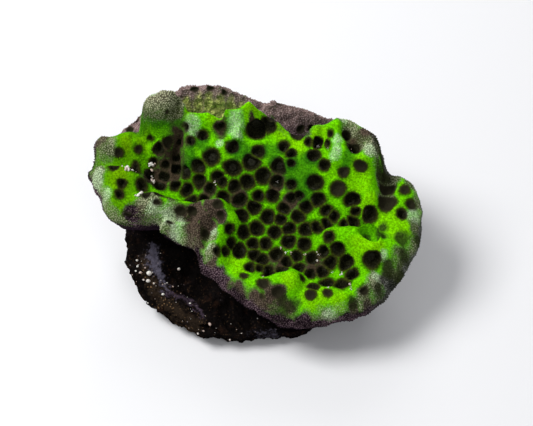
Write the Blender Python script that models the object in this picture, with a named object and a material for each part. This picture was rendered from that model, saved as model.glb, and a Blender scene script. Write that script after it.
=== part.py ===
"""A plate of Montipora coral on the loose rock that it grew over.

Frame: metres, +Z up, +X to the colony's right and +Y to its back. The origin is on the
rock's flat cut foot, under the middle of the colony. Sizes and places are written in
millimetres, and MM turns them into metres where a mesh is made.

The colony is one living sheet. Its broad form is a leaning plane with raised ridges,
knobs and valleys, its edge rolls under as a thick lip, and every polyp sits at the
bottom of a round pit sunk along the sheet's own normal.
"""

import math

import bmesh
import bpy
import numpy as np
from mathutils import Vector, noise

MM = 0.001

# ---------------------------------------------------------------- driving dimensions
SHEET_HEIGHT = 20.0  # height of the sheet's plane over the origin
SHEET_SLOPE = 0.28  # rise of that plane towards the back, per millimetre
SEAT_DROP = 9.5  # from the sheet's plane down to where the colony sits on the rock
SEAT_GAP = 0.3  # clearance between the colony's seat and the rock, measured upright
BOSS_DROP = 5.5  # how far the middle of the underside bulges below its outer part
LIP_FRONT = 3.3  # radius of the rolled edge at the front of the plate
LIP_BACK = 2.2  # and at the back
PIT_DEPTH = 1.8
PIT_WALL = 0.95  # how far in from its edge a pit reaches its full depth
DOME_STEEPNESS = 8.0  # how square the profile across a dome is: 2 is a bell, more is a plateau
RIDGE_STEEPNESS = 2.6
HOLLOW_STEEPNESS = 2.0
BLEND = 5.0  # how sharply neighbouring ridges meet: the higher, the nearer to the taller of the two
RIDGE_WIDTH = 0.5  # wall left between two crowded pits
ROUNDING = 7.0  # how square a crowded pit's corners are: the higher, the sharper
TOP_SHARE = 0.62  # shares of the way from the sheet's middle, over the lip, to the middle of
LIP_SHARE = 0.76  # its underside, at which the top ends and the lip has rolled under

COLONY_CUTS = 84  # cuts along each edge of the cube that the dense colony starts from
COLONY_TRIANGLES = 7900
ROCK_CUTS = 34
ROCK_TRIANGLES = 1500

# ---------------------------------------------------------------- the colony's outline
COLONY_CENTRE = (0.0, 5.0)
COLONY_RIM = [  # x, y seen from above, counter-clockwise from the right
    (36.0, 2.0), (35.5, 6.5), (33.5, 10.0), (29.5, 12.5), (28.0, 16.0), (24.5, 20.0),
    (18.5, 23.0), (13.0, 25.0), (2.0, 28.0), (-4.0, 29.5), (-10.0, 31.0), (-14.0, 31.0),
    (-25.0, 27.0), (-31.5, 22.0), (-35.0, 19.0), (-35.5, 15.5), (-36.5, 11.5), (-34.0, 6.0),
    (-31.5, 2.0), (-28.0, 0.5), (-24.0, 0.5), (-20.5, -1.5), (-14.0, -4.5), (-11.5, -9.0),
    (-7.0, -13.0), (-0.5, -17.5), (4.5, -20.0), (11.0, -21.0), (17.0, -20.0), (23.0, -18.5),
    (29.0, -13.0), (33.5, -7.5),
]

# ---------------------------------------------------------------- ridges and valleys
# Each is a chain of (x, y, height over the sheet's plane, half-width). Domes are steep-sided.
DOMES = {
    "left knob": [(-21.4, 19.8, 10.7, 3.7), (-18.0, 20.0, 10.8, 3.7)],
    "right lobe": [(18.8, 15.0, 7.0, 5.0), (22.8, 12.2, 7.8, 4.8)],
}
RIDGES = {
    "left knob crown": [(-21.4, 19.6, 9.2, 2.6), (-19.6, 20.4, 9.6, 2.8), (-17.6, 19.9, 9.2, 2.4)],
    "left knob foot": [(-20.8, 16.0, 4.4, 2.6)],
    "left buttress": [(-14.6, 18.4, 6.6, 2.4), (-14.4, 12.6, 4.0, 2.6), (-13.8, 9.0, 1.4, 2.4)],
    "back wall": [(-14.4, 19.0, 7.2, 2.4), (-10.4, 19.0, 7.4, 2.6), (-7.8, 18.4, 6.2, 2.2)],
    "middle peak": [(-6.2, 18.8, 9.2, 1.5), (-3.6, 19.0, 9.0, 2.0), (-1.4, 19.6, 9.4, 2.2)],
    "peak shoulder": [(-1.4, 19.6, 9.4, 2.4), (1.4, 19.4, 7.2, 2.2), (4.4, 18.2, 5.6, 2.6)],
    "peak flank": [(-3.4, 18.4, 7.2, 1.8), (-4.2, 15.0, 5.4, 1.8)],
    "saddle": [(4.4, 17.6, 5.6, 2.4), (9.6, 14.8, 3.4, 2.1), (12.8, 16.6, 5.6, 2.2)],
    "right crest": [(12.8, 16.8, 6.2, 2.2), (17.2, 17.2, 6.8, 2.4)],
    "right rib": [(17.2, 17.2, 6.8, 1.7), (17.2, 13.6, 6.2, 1.6), (16.6, 10.0, 5.0, 1.6)],
    "right buttress": [(23.6, 10.0, 5.6, 3.0), (24.4, 4.0, 3.6, 2.8)],
    "inner slope": [(-10.6, 14.0, 4.6, 6.5), (4.0, 13.0, 4.8, 7.5), (17.0, 11.0, 4.8, 7.0)],
    "upper left lobe": [(-32.0, 16.6, 2.6, 3.6), (-28.6, 17.0, 3.6, 3.6), (-26.4, 16.4, 2.8, 3.0)],
    "lower left lobe": [(-32.6, 10.0, 3.0, 3.0), (-29.6, 9.2, 3.4, 2.8), (-25.6, 8.3, 2.4, 2.6)],
    "back rim": [(-16.0, 28.0, 3.0, 1.7), (-8.0, 27.8, 3.6, 1.7), (-1.6, 26.0, 2.0, 1.5)],
    "back rim end": [(3.6, 24.8, 2.6, 1.6), (12.0, 22.6, 2.2, 1.6), (16.0, 21.6, 1.4, 1.5)],
    "left apron": [(-30.4, 5.6, 2.0, 4.0)],
    "front left lip": [(-26.4, 3.0, 1.8, 3.0), (-21.8, 3.2, 3.6, 2.9), (-18.0, 2.8, 3.2, 2.1)],
    "front left bead": [(-18.6, -1.0, 2.0, 2.4), (-15.4, -1.8, 2.4, 2.2)],
    "front middle lip": [(-18.0, 2.8, 3.2, 2.1), (-13.2, 1.8, 2.7, 1.8), (-8.2, 1.5, 4.2, 2.8)],
    "front middle end": [(-8.2, 1.5, 4.2, 2.8), (-5.4, -0.6, 3.5, 2.5)],
    "left flank": [(-10.8, 1.2, 4.4, 2.4), (-11.8, -2.2, 4.0, 2.2), (-12.2, -5.0, 2.6, 2.0)],
    "right flank": [(-7.4, -3.0, 3.6, 2.4), (-8.8, -6.6, 3.2, 2.4), (-8.8, -9.6, 1.8, 2.4)],
    "front lip": [(-4.0, -13.4, 1.8, 3.2), (1.6, -14.6, 2.6, 3.0), (7.2, -12.8, 3.8, 3.0)],
    "front apron": [(12.2, -15.6, 2.3, 3.0), (18.4, -16.3, 2.2, 3.0), (23.6, -13.8, 2.0, 3.0)],
    "right front ridge": [(16.0, -3.6, 3.0, 2.4), (20.6, -4.2, 3.8, 2.5), (24.2, -7.0, 3.6, 2.6)],
    "right front end": [(24.2, -7.0, 3.6, 2.6), (28.8, -6.6, 2.8, 2.8)],
    "right front fold": [
        (20.8, -3.8, 3.2, 0.8), (22.2, -2.4, 2.5, 0.7), (23.7, -1.7, 2.5, 0.7), (25.3, -2.3, 2.6, 0.7),
        (26.3, -4.3, 2.7, 0.7), (26.0, -6.6, 3.2, 0.8),
    ],
    "right shoulder": [(30.0, 4.8, 1.8, 4.0), (30.8, -1.6, 2.2, 3.8)],
    "middle rib": [(6.0, 3.2, 1.0, 2.6), (11.0, -1.5, 0.9, 2.6)],
}
VALLEYS = {
    "left valley": [(-20.0, 11.4, 2.8, 4.2), (-15.6, 8.4, 2.6, 4.0)],
    "knob cleft": [(-16.6, 21.0, 3.0, 1.2), (-17.2, 15.6, 2.6, 1.1), (-16.8, 11.6, 1.6, 1.2)],
    "lobe cleft": [(-34.6, 13.4, 2.4, 1.8), (-28.6, 13.2, 2.2, 1.8)],
    "dish": [(2.0, -4.0, 1.6, 9.0), (13.0, -8.4, 1.8, 8.0)],
    "back left shelf": [(-30.6, 22.6, 4.6, 4.2), (-25.6, 25.0, 3.4, 4.2)],
    "back trough": [
        (-14.0, 23.8, 3.6, 2.2), (-6.0, 23.6, 3.8, 2.0), (2.0, 22.2, 3.0, 1.8), (8.0, 19.4, 3.0, 1.8),
        (13.6, 20.0, 2.6, 1.6),
    ],
    "right step": [(28.4, 11.4, 2.6, 2.4), (28.4, 5.6, 1.4, 2.4)],
    "right hollow": [(19.8, 15.2, 1.8, 1.4), (21.4, 11.8, 1.4, 1.4)],
    "lip hollow": [(-17.0, 0.4, 1.2, 1.6), (-14.0, 0.3, 1.3, 1.4)],
    "right front pocket": [(22.9, -3.3, 1.3, 1.1), (24.5, -4.6, 1.7, 1.2)],
    "flank cleft": [(-10.8, -2.8, 0.9, 0.9), (-11.0, -5.4, 1.2, 0.9)],
}
# Soft hollows near the margin: x, y, depth, radius.
HOLLOWS = [
    (28.6, -2.0, 1.0, 1.5), (31.0, -4.4, 1.0, 1.7), (31.2, -7.6, 0.9, 1.6), (28.6, -10.6, 1.2, 2.0),
    (31.4, -11.2, 0.9, 1.3), (25.0, -14.6, 0.6, 1.3), (34.6, -3.4, 0.7, 1.2), (-7.6, -12.6, 0.9, 1.7),
    (-10.4, -8.6, 0.5, 1.2), (-3.6, -15.4, 0.7, 1.2), (9.0, -18.4, 0.6, 1.3), (20.4, -18.2, 0.6, 1.2),
    (-27.2, 1.6, 0.9, 1.4), (-34.8, 12.2, 0.7, 1.3), (26.6, 13.6, 0.9, 1.6), (-24.6, 18.6, 0.5, 1.2),
    (-10.8, -3.6, 0.7, 1.4), (14.8, -20.0, 0.4, 1.0), (4.2, -18.6, 0.5, 1.2), (23.6, -17.6, 0.5, 1.1),
]

# ---------------------------------------------------------------- pits
# Place by place: x, y, radius.
PITS = {
    "back wall": [
        (-7.7, 17.3, 1.1), (-11.5, 16.1, 1.0), (-13.9, 14.6, 0.9), (-5.0, 13.5, 1.4), (-15.0, 17.0, 0.6),
    ],
    "behind the crest": [(8.8, 16.2, 1.0), (9.8, 20.8, 0.9), (12.0, 21.0, 0.9)],
    "back slope": [
        (-9.6, 11.5, 1.8), (-12.5, 10.5, 1.6), (-5.0, 9.5, 1.9), (-1.0, 10.5, 2.0), (0.5, 12.5, 1.4),
        (1.5, 8.0, 1.7), (5.0, 9.5, 1.9), (7.5, 10.0, 0.9), (7.5, 12.0, 1.0), (6.0, 13.5, 1.2),
    ],
    "right slope": [
        (11.3, 14.6, 0.7), (15.0, 13.4, 0.6), (15.6, 15.0, 0.5), (14.5, 9.5, 1.1), (12.5, 6.5, 1.7),
        (17.5, 5.5, 1.5), (18.6, 8.2, 1.0), (22.0, 8.2, 1.4), (20.5, 3.9, 1.6), (24.0, 0.9, 1.7),
        (21.2, 1.9, 0.9),
    ],
    "right shoulder": [
        (28.0, 7.5, 2.0), (28.0, 3.5, 2.0), (31.9, 6.4, 1.1), (33.3, 3.0, 1.2), (31.0, 0.5, 1.1),
        (27.6, 10.2, 0.9),
    ],
    "right front": [
        (24.4, -9.3, 1.9), (22.7, -15.8, 1.0),
    ],
    "middle, back row": [
        (-1.9, 7.2, 1.5), (-4.7, 6.6, 1.4), (4.5, 7.0, 1.5), (7.5, 6.5, 1.1),
    ],
    "middle, second row": [
        (-3.4, 4.5, 1.5), (0.5, 5.0, 1.1), (-0.4, 3.3, 1.5), (3.5, 5.0, 1.3),
        (10.6, 3.0, 1.3), (13.2, 3.9, 1.5),
    ],
    "middle, third row": [
        (-3.0, 1.5, 1.4), (2.5, 1.5, 1.4), (6.0, 2.7, 1.3), (5.2, 0.8, 1.1), (9.0, 1.0, 1.4),
        (15.0, 2.0, 1.2), (16.5, 1.0, 1.1), (15.0, -0.2, 1.2), (13.0, -0.9, 1.2), (20.5, 0.0, 1.4),
        (18.8, -0.5, 0.9),
    ],
    "middle, fourth row": [
        (-2.5, -1.9, 1.4), (0.1, -0.8, 1.6), (4.0, -1.5, 1.3), (7.0, -1.0, 1.3), (10.5, -1.5, 1.4),
        (7.0, -3.4, 1.5), (10.2, -4.2, 1.4), (15.2, -4.1, 1.2),
    ],
    "middle, fifth row": [
        (-5.6, -2.6, 1.0), (-6.2, -6.7, 0.9), (-0.6, -4.0, 1.3), (2.0, -3.9, 1.3),
        (4.5, -6.2, 1.5), (6.4, -7.8, 1.3), (8.7, -6.5, 1.2), (12.0, -7.0, 1.4),
        (14.3, -6.0, 1.2), (17.1, -6.1, 1.5),
    ],
    "middle, front row": [
        (0.8, -9.3, 0.8), (5.3, -9.9, 1.4), (9.2, -9.2, 1.3), (11.5, -10.2, 1.1),
        (14.0, -9.8, 1.3), (19.0, -8.4, 1.6), (15.7, -7.9, 1.4), (20.2, -11.0, 1.3), (18.0, -13.4, 1.7),
        (14.9, -12.7, 1.4),
    ],
    "front lip": [
        (1.5, -14.4, 1.1), (1.0, -17.0, 0.6), (4.6, -16.0, 1.3), (-2.4, -12.0, 0.7), (-1.2, -9.4, 1.1),
        (11.4, -16.3, 1.1), (12.0, -14.1, 1.2), (15.0, -16.0, 0.8), (9.9, -12.3, 0.6),
    ],
    "left front": [
        (-8.2, -7.8, 1.0), (-7.5, -0.5, 0.9), (-10.8, -3.3, 0.8), (-8.0, 1.1, 1.1),
        (-13.5, 1.2, 1.1), (-16.0, 1.3, 1.2), (-18.5, -1.2, 0.8), (-21.0, 2.2, 0.8), (-17.8, 4.1, 1.3),
        (-20.6, 4.6, 1.2),
    ],
    "left middle": [
        (-7.0, 4.6, 1.4), (-11.2, 4.5, 1.3), (-14.0, 4.9, 1.4), (-15.0, 7.8, 1.3), (-12.2, 8.3, 1.5),
        (-9.9, 6.5, 1.2), (-15.5, 10.7, 1.5), (-17.5, 9.2, 1.1),
    ],
    "left valley": [
        (-20.9, 14.6, 1.6), (-18.9, 16.0, 1.4), (-16.6, 16.5, 0.7), (-17.1, 14.8, 0.9), (-17.2, 12.8, 1.2),
        (-19.7, 13.2, 0.9), (-22.9, 11.3, 1.3), (-20.0, 11.3, 1.3), (-20.8, 9.3, 1.3), (-24.2, 7.2, 1.3),
        (-23.3, 4.3, 1.1), (-22.3, 13.3, 0.9),
    ],
    "left lobes": [
        (-29.7, 14.5, 0.9), (-25.3, 14.7, 0.7), (-26.3, 11.3, 1.5), (-30.4, 10.3, 0.9), (-28.6, 7.0, 0.8),
        (-29.0, 4.9, 0.8), (-27.5, 1.0, 0.9),
    ],
    "left knob": [(-18.6, 17.6, 0.6), (-23.0, 16.4, 0.7)],
    "back shelf": [(-13.5, 27.5, 1.0), (-10.0, 27.5, 0.9), (-7.0, 26.8, 0.7), (-28.0, 23.0, 1.0)],
}
# Two pits with no wall between them, each x, y, radius.
OVAL_PITS = [
    ((0.2, 17.6, 2.1), (2.6, 17.7, 1.7)), ((13.0, 14.5, 1.2), (12.3, 11.6, 1.4)),
    ((19.2, 15.4, 1.0), (20.6, 12.2, 1.3)), ((-8.2, 8.2, 1.2), (-7.2, 7.4, 1.0)),
    ((-5.2, -4.8, 1.1), (-3.4, -5.6, 1.6)), ((-0.4, -6.3, 1.2), (1.3, -7.6, 1.4)),
    ((2.5, -9.7, 1.1), (2.8, -10.8, 1.3)), ((7.4, 4.4, 1.2), (9.2, 4.7, 1.0)),
]
# The hidden back of the plate has pits of this random size, this far apart.
BACK_EDGE = 19.5
BACK_SPACING = 5.2
BACK_RADIUS = (0.9, 1.3)
PIT_SEED = 11

# ---------------------------------------------------------------- the rock
ROCK_CENTRE = (-2.0, 1.0)
ROCK_RIM = [
    (26.0, 2.0), (24.0, 11.0), (17.0, 18.5), (7.0, 22.5), (-6.0, 23.5), (-18.0, 21.0),
    (-26.0, 14.0), (-29.4, 5.6), (-28.4, -2.0), (-25.4, -8.2), (-19.6, -13.4), (-12.8, -16.8),
    (-5.0, -18.6), (4.0, -18.0), (13.0, -15.0), (21.0, -8.6),
]
ROCK_WIDEST = 4.5  # height of the rock's widest line
SHELF_DROP = 3.2  # from the colony's seat down to the rock's exposed shelf
SEAT_SPARE = 3.4  # how far the stone would rise past its seat, before it is cut flat there
COARSE_ROUGH = (1.5, 0.09)  # height and pitch (per millimetre) of the stone's lumps
FINE_ROUGH = (0.5, 0.45)
ROCK_FOOT = -6.0  # where the stone would end, before its foot is cut flat at zero
SEAT_REACH = 0.57  # the raised seat's share of the way from the colony's centre to its rim
POCKET = (-14.5, -5.0, 4.6, 3.6)  # x, y, radius, depth of the hollow under the colony's lip
# Knobs and hollows of the stone: x, y, z, how far out, radius.
STONE_LUMPS = [
    (21.0, 13.0, 5.0, 2.4, 5.0), (9.0, 22.0, 4.0, 2.6, 6.0), (-6.0, 23.0, 9.0, -2.2, 4.0),
    (-15.0, 21.0, 4.0, 2.2, 5.0), (-24.0, 15.0, 9.0, 2.0, 4.5), (-28.0, 6.0, 4.0, -1.8, 4.0),
    (24.0, 3.0, 9.0, -2.0, 4.0), (23.0, -6.0, 4.0, 2.0, 4.0), (14.0, 19.0, 10.0, -1.8, 3.5),
    (2.0, 22.0, 14.0, 1.8, 4.0), (16.0, -14.0, 5.0, -1.6, 3.5), (6.0, -18.0, 3.0, 1.0, 4.0),
    (-20.0, 19.0, 13.0, -1.6, 3.0), (-9.0, 21.0, 2.0, -1.4, 3.0), (26.0, 8.0, 3.0, 1.4, 3.0),
]


def periodic_curve(points, centre):
    """A function of the angle about centre that gives the outline's radius, smooth through the points."""
    offsets = np.array(points) - np.array(centre)
    angles = np.arctan2(offsets[:, 1], offsets[:, 0])
    order = np.argsort(angles)
    angles, radii = angles[order], np.hypot(*offsets[order].T)
    turn = 2 * math.pi
    angles = np.concatenate([angles[-2:] - turn, angles, angles[:2] + turn])
    radii = np.concatenate([radii[-2:], radii, radii[:2]])
    slopes = np.gradient(radii, angles)

    def radius(angle):
        i = np.clip(np.searchsorted(angles, angle) - 1, 0, len(angles) - 2)
        step = angles[i + 1] - angles[i]
        t = (angle - angles[i]) / step
        start, end = radii[i], radii[i + 1]
        return (
            (1 + 2 * t) * (1 - t) ** 2 * start
            + t * (1 - t) ** 2 * step * slopes[i]
            + t**2 * (3 - 2 * t) * end
            + t**2 * (t - 1) * step * slopes[i + 1]
        )

    return radius


def smooth_step(t):
    t = np.clip(t, 0.0, 1.0)
    return t * t * (3 - 2 * t)


def chain_height(x, y, chain, steepness):
    """Height of one ridge: the profile across it, with height and half-width running along its chain."""
    links = list(zip(chain, chain[1:])) or [(chain[0], chain[0])]
    best = np.zeros_like(x)
    for (ax, ay, ah, aw), (bx, by, bh, bw) in links:
        length_squared = max((bx - ax) ** 2 + (by - ay) ** 2, 1e-9)
        t = np.clip(((x - ax) * (bx - ax) + (y - ay) * (by - ay)) / length_squared, 0, 1)
        away = np.hypot(x - ax - t * (bx - ax), y - ay - t * (by - ay))
        profile = np.exp(-((away / (aw + t * (bw - aw))) ** steepness))
        best = np.maximum(best, (ah + t * (bh - ah)) * profile)
    return best


def relief(x, y):
    """Height of the colony's domes, ridges and valleys over the sheet's plane."""
    heights = [chain_height(x, y, chain, DOME_STEEPNESS) for chain in DOMES.values()]
    heights += [chain_height(x, y, chain, RIDGE_STEEPNESS) for chain in RIDGES.values()]
    raised = sum(height**BLEND for height in heights) ** (1 / BLEND)
    sunk = sum(chain_height(x, y, chain, RIDGE_STEEPNESS) for chain in VALLEYS.values())
    sunk += sum(chain_height(x, y, [hollow], HOLLOW_STEEPNESS) for hollow in HOLLOWS)
    return raised - sunk


def plane(y):
    return SHEET_HEIGHT + SHEET_SLOPE * y


def cube_sphere(cuts):
    """A cube cut into a grid on each side and blown up into an even unit sphere."""
    mesh = bmesh.new()
    bmesh.ops.create_cube(mesh, size=2.0)
    bmesh.ops.subdivide_edges(mesh, edges=mesh.edges[:], cuts=cuts, use_grid_fill=True)
    for vertex in mesh.verts:
        x, y, z = vertex.co
        vertex.co = (
            x * math.sqrt(1 - y * y / 2 - z * z / 2 + y * y * z * z / 3),
            y * math.sqrt(1 - z * z / 2 - x * x / 2 + z * z * x * x / 3),
            z * math.sqrt(1 - x * x / 2 - y * y / 2 + x * x * y * y / 3),
        )
    return mesh


def points_of(mesh):
    return np.array([vertex.co for vertex in mesh.verts])


def normals_of(mesh):
    mesh.normal_update()
    return np.array([vertex.normal for vertex in mesh.verts])


def move_to(mesh, points):
    for vertex, point in zip(mesh.verts, points):
        vertex.co = point


def sheet_form(sphere):
    """Where the colony's smooth skin is, for points of the unit sphere: top, rolled lip and underside."""
    s = np.arccos(np.clip(sphere[:, 2], -1, 1)) / math.pi
    angle = np.arctan2(sphere[:, 1], sphere[:, 0])
    rim = periodic_curve(COLONY_RIM, COLONY_CENTRE)(angle)
    lip = (LIP_FRONT + LIP_BACK) / 2 - (LIP_FRONT - LIP_BACK) / 2 * np.sin(angle)
    flat = rim - lip

    outward = np.sin(math.pi * s / 2) / math.sin(math.pi * TOP_SHARE / 2)
    roll = math.pi * np.clip((s - TOP_SHARE) / (LIP_SHARE - TOP_SHARE), 0, 1)
    inward = np.clip((1 - s) / (1 - LIP_SHARE), 0, 1)
    reach = np.where(s < TOP_SHARE, flat * outward, flat + lip * np.sin(roll))
    reach = np.where(s > LIP_SHARE, flat * inward, reach)

    x = COLONY_CENTRE[0] + reach * np.cos(angle)
    y = COLONY_CENTRE[1] + reach * np.sin(angle)
    follow = 1 - 0.8 * smooth_step(roll / math.pi)  # the underside hardly follows the ridges
    boss = BOSS_DROP * smooth_step((0.86 - inward) / 0.4) * (s > LIP_SHARE)
    z = plane(y) + relief(x, y) * follow - lip * (1 - np.cos(roll)) - boss
    return np.column_stack([x, y, z])


def sheet_point(x, y):
    return np.column_stack([x, y, plane(y) + relief(x, y)])


def inside_rim(x, y, margin):
    rim = periodic_curve(COLONY_RIM, COLONY_CENTRE)
    dx, dy = x - COLONY_CENTRE[0], y - COLONY_CENTRE[1]
    return np.hypot(dx, dy) < rim(np.arctan2(dy, dx)) - margin


def place_pits():
    """Centres on the sheet, radii and numbers of the pits: the named ones, and some along the back.

    The two halves of an oval pit share its number.
    """
    plan = [half for pair in OVAL_PITS for half in pair] + [pit for place in PITS.values() for pit in place]
    random = np.random.RandomState(PIT_SEED)
    x, y = random.uniform(-38, 38, 4000), random.uniform(BACK_EDGE, 32, 4000)
    inside = inside_rim(x, y, 1.8)
    for x, y, radius in zip(x[inside], y[inside], random.uniform(*BACK_RADIUS, inside.sum())):
        if min(math.hypot(x - px, y - py) for px, py, _ in plan) > BACK_SPACING:
            plan.append((x, y, radius))
    x, y, radii = np.array(plan).T
    numbers = np.arange(len(plan))
    numbers[: 2 * len(OVAL_PITS)] //= 2
    return sheet_point(x, y), radii, numbers


def pit_inset(points, centres, radii, numbers):
    """How far inside the edge of its pit each point is; negative on the ridges.

    A pit is a round hole whose sides give way softly where a neighbour crowds it.
    """
    inset = np.empty(len(points))
    for start in range(0, len(points), 8000):
        chunk = points[start : start + 8000]
        away = np.linalg.norm(chunk[:, None] - centres[None], axis=2)
        order = np.argsort(away, axis=1)[:, :6]
        near = np.take_along_axis(away, order, 1)
        own, out = order[:, 0], near[:, 0]
        filled = (out / radii[own]) ** ROUNDING
        for k in range(1, 6):
            apart = np.linalg.norm(centres[order[:, k]] - centres[own], axis=1)
            towards = (out**2 - near[:, k] ** 2 + apart**2) / (2 * apart)
            walled = numbers[order[:, k]] != numbers[own]
            filled += walled * (np.clip(towards, 0, None) / ((apart - RIDGE_WIDTH) / 2)) ** ROUNDING
        filled **= 1 / ROUNDING
        inset[start : start + 8000] = out / np.maximum(filled, 1e-6) - out
    return inset


def thinned(mesh, name, triangles):
    """The dense mesh brought down to a number of triangles that keeps its ridges and pits."""
    bmesh.ops.triangulate(mesh, faces=mesh.faces[:])
    dense = bpy.data.meshes.new(name + "_dense")
    mesh.to_mesh(dense)
    mesh.free()
    holder = bpy.data.objects.new(name + "_dense", dense)
    bpy.context.scene.collection.objects.link(holder)
    decimate = holder.modifiers.new("Thin", "DECIMATE")
    decimate.ratio = triangles / len(dense.polygons)
    decimate.use_collapse_triangulate = True
    graph = bpy.context.evaluated_depsgraph_get()
    made = bpy.data.meshes.new_from_object(holder.evaluated_get(graph))
    bpy.data.objects.remove(holder)
    thin = bmesh.new()
    thin.from_mesh(made)
    bpy.data.meshes.remove(made)
    return thin


def cut_flat(mesh, point, normal):
    """Cuts away what lies beyond the plane and closes the cut with one flat face."""
    geometry = mesh.verts[:] + mesh.edges[:] + mesh.faces[:]
    cut = bmesh.ops.bisect_plane(
        mesh, geom=geometry, dist=1e-5, plane_co=point, plane_no=normal, clear_outer=True
    )
    loop = [item for item in cut["geom_cut"] if isinstance(item, bmesh.types.BMEdge)]
    bmesh.ops.holes_fill(mesh, edges=loop, sides=0)
    bmesh.ops.recalc_face_normals(mesh, faces=mesh.faces[:])


def make_object(mesh, name, material, collection):
    bmesh.ops.scale(mesh, vec=(MM, MM, MM), verts=mesh.verts[:])
    data = bpy.data.meshes.new(name)
    mesh.to_mesh(data)
    mesh.free()
    data.shade_smooth()
    data.materials.append(material)
    made = bpy.data.objects.new(name, data)
    collection.objects.link(made)
    return made


def plain_material(name, colour, roughness):
    material = bpy.data.materials.new(name)
    material.use_nodes = True
    shader = material.node_tree.nodes["Principled BSDF"]
    shader.inputs["Base Color"].default_value = (*colour, 1.0)
    shader.inputs["Roughness"].default_value = roughness
    shader.inputs["Metallic"].default_value = 0.0
    return material


def make_colony(collection):
    mesh = cube_sphere(COLONY_CUTS)
    move_to(mesh, sheet_form(points_of(mesh)))
    skin, normals = points_of(mesh), normals_of(mesh)
    depth = PIT_DEPTH * smooth_step(pit_inset(skin, *place_pits()) / PIT_WALL)
    move_to(mesh, skin - normals * depth[:, None])
    mesh = thinned(mesh, "colony", COLONY_TRIANGLES)
    seat_normal = Vector((0, SHEET_SLOPE, -1)).normalized()
    cut_flat(mesh, Vector((0, 0, SHEET_HEIGHT - SEAT_DROP)), seat_normal)
    material = plain_material("coral_tissue", (0.14, 0.62, 0.03), 0.6)
    return make_object(mesh, "coral_colony", material, collection)


def rock_form(sphere):
    """The rock's skin before it is roughened, for points of the unit sphere."""
    angle = np.arctan2(sphere[:, 1], sphere[:, 0])
    rim = periodic_curve(ROCK_RIM, ROCK_CENTRE)(angle)
    lean = np.hypot(sphere[:, 0], sphere[:, 1]) ** 0.8
    x = ROCK_CENTRE[0] + rim * lean * np.cos(angle)
    y = ROCK_CENTRE[1] + rim * lean * np.sin(angle)

    dx, dy = x - COLONY_CENTRE[0], y - COLONY_CENTRE[1]
    colony_rim = periodic_curve(COLONY_RIM, COLONY_CENTRE)(np.arctan2(dy, dx))
    seat = smooth_step((SEAT_REACH + 0.1 - np.hypot(dx, dy) / colony_rim) / 0.18)
    seat_height = plane(y) - SEAT_DROP
    top = seat_height - SHELF_DROP + (SHELF_DROP + SEAT_SPARE) * seat
    px, py, radius, depth = POCKET
    top -= depth * np.exp(-((np.hypot(x - px, y - py) / radius) ** 3)) * (1 - seat)
    up = np.clip(sphere[:, 2], 0, 1) ** 0.5
    down = np.clip(-sphere[:, 2], 0, 1)
    z = ROCK_WIDEST + up * (top - ROCK_WIDEST) - down * (ROCK_WIDEST - ROCK_FOOT)
    return np.column_stack([x, y, z])


def lumps(points):
    """How far the rock's knobs push out, and its hollows draw in, at each point."""
    out = np.zeros(len(points))
    for x, y, z, height, radius in STONE_LUMPS:
        away = np.linalg.norm(points - (x, y, z), axis=1)
        out += height * np.exp(-((away / radius) ** 2))
    return out


def make_rock(collection):
    mesh = cube_sphere(ROCK_CUTS)
    move_to(mesh, rock_form(points_of(mesh)))
    skin, normals = points_of(mesh), normals_of(mesh)
    lump, lump_pitch = COARSE_ROUGH
    grain, grain_pitch = FINE_ROUGH
    coarse = np.array([noise.fractal(Vector(p) * lump_pitch, 0.9, 2.0, 4) for p in skin])
    fine = np.array([noise.noise(Vector(p) * grain_pitch) for p in skin])
    rough = lump * coarse + grain * fine + lumps(skin)
    move_to(mesh, skin + normals * rough[:, None])
    mesh = thinned(mesh, "rock", ROCK_TRIANGLES)
    seat = Vector((0, 0, SHEET_HEIGHT - SEAT_DROP - SEAT_GAP))
    cut_flat(mesh, seat, Vector((0, -SHEET_SLOPE, 1)).normalized())
    cut_flat(mesh, Vector((0, 0, 0)), Vector((0, 0, -1)))
    material = plain_material("live_rock", (0.045, 0.035, 0.035), 0.85)
    return make_object(mesh, "base_rock", material, collection)


def main():
    for item in list(bpy.data.objects):
        bpy.data.objects.remove(item)
    collection = bpy.data.collections.new("montipora_coral")
    bpy.context.scene.collection.children.link(collection)
    make_colony(collection)
    make_rock(collection)


main()
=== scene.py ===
"""The looks of a pitted plate coral on its stone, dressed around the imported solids.

Blender sees metres. The shape functions think in millimetres, the unit in which the coral was
laid out, and MM turns one into the other. The colony's skin is made from the same plan of
ridges, valleys and pits as the solid that it stands for, only finer.
"""

import math

import bpy
import numpy as np
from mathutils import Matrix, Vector, kdtree, noise


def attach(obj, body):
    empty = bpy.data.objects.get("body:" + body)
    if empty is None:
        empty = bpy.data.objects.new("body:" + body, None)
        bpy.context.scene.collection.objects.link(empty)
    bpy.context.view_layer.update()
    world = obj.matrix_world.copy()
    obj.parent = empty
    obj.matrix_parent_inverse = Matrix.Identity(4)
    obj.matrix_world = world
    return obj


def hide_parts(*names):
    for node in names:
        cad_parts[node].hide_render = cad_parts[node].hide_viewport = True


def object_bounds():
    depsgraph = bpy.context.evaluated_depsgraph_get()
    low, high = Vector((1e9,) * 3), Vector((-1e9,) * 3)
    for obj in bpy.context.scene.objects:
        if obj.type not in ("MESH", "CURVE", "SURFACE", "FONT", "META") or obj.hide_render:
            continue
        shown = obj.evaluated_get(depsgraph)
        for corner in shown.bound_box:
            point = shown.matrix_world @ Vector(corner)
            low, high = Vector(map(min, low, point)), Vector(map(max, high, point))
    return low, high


bl_info = {
    "name": "Pitted plate coral",
    "version": (1, 0, 0),
    "blender": (4, 5, 0),
    "location": "3D View > Sidebar > Coral",
    "description": "Dresses a plate coral and the stone it grew on",
    "category": "Object",
}

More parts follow.
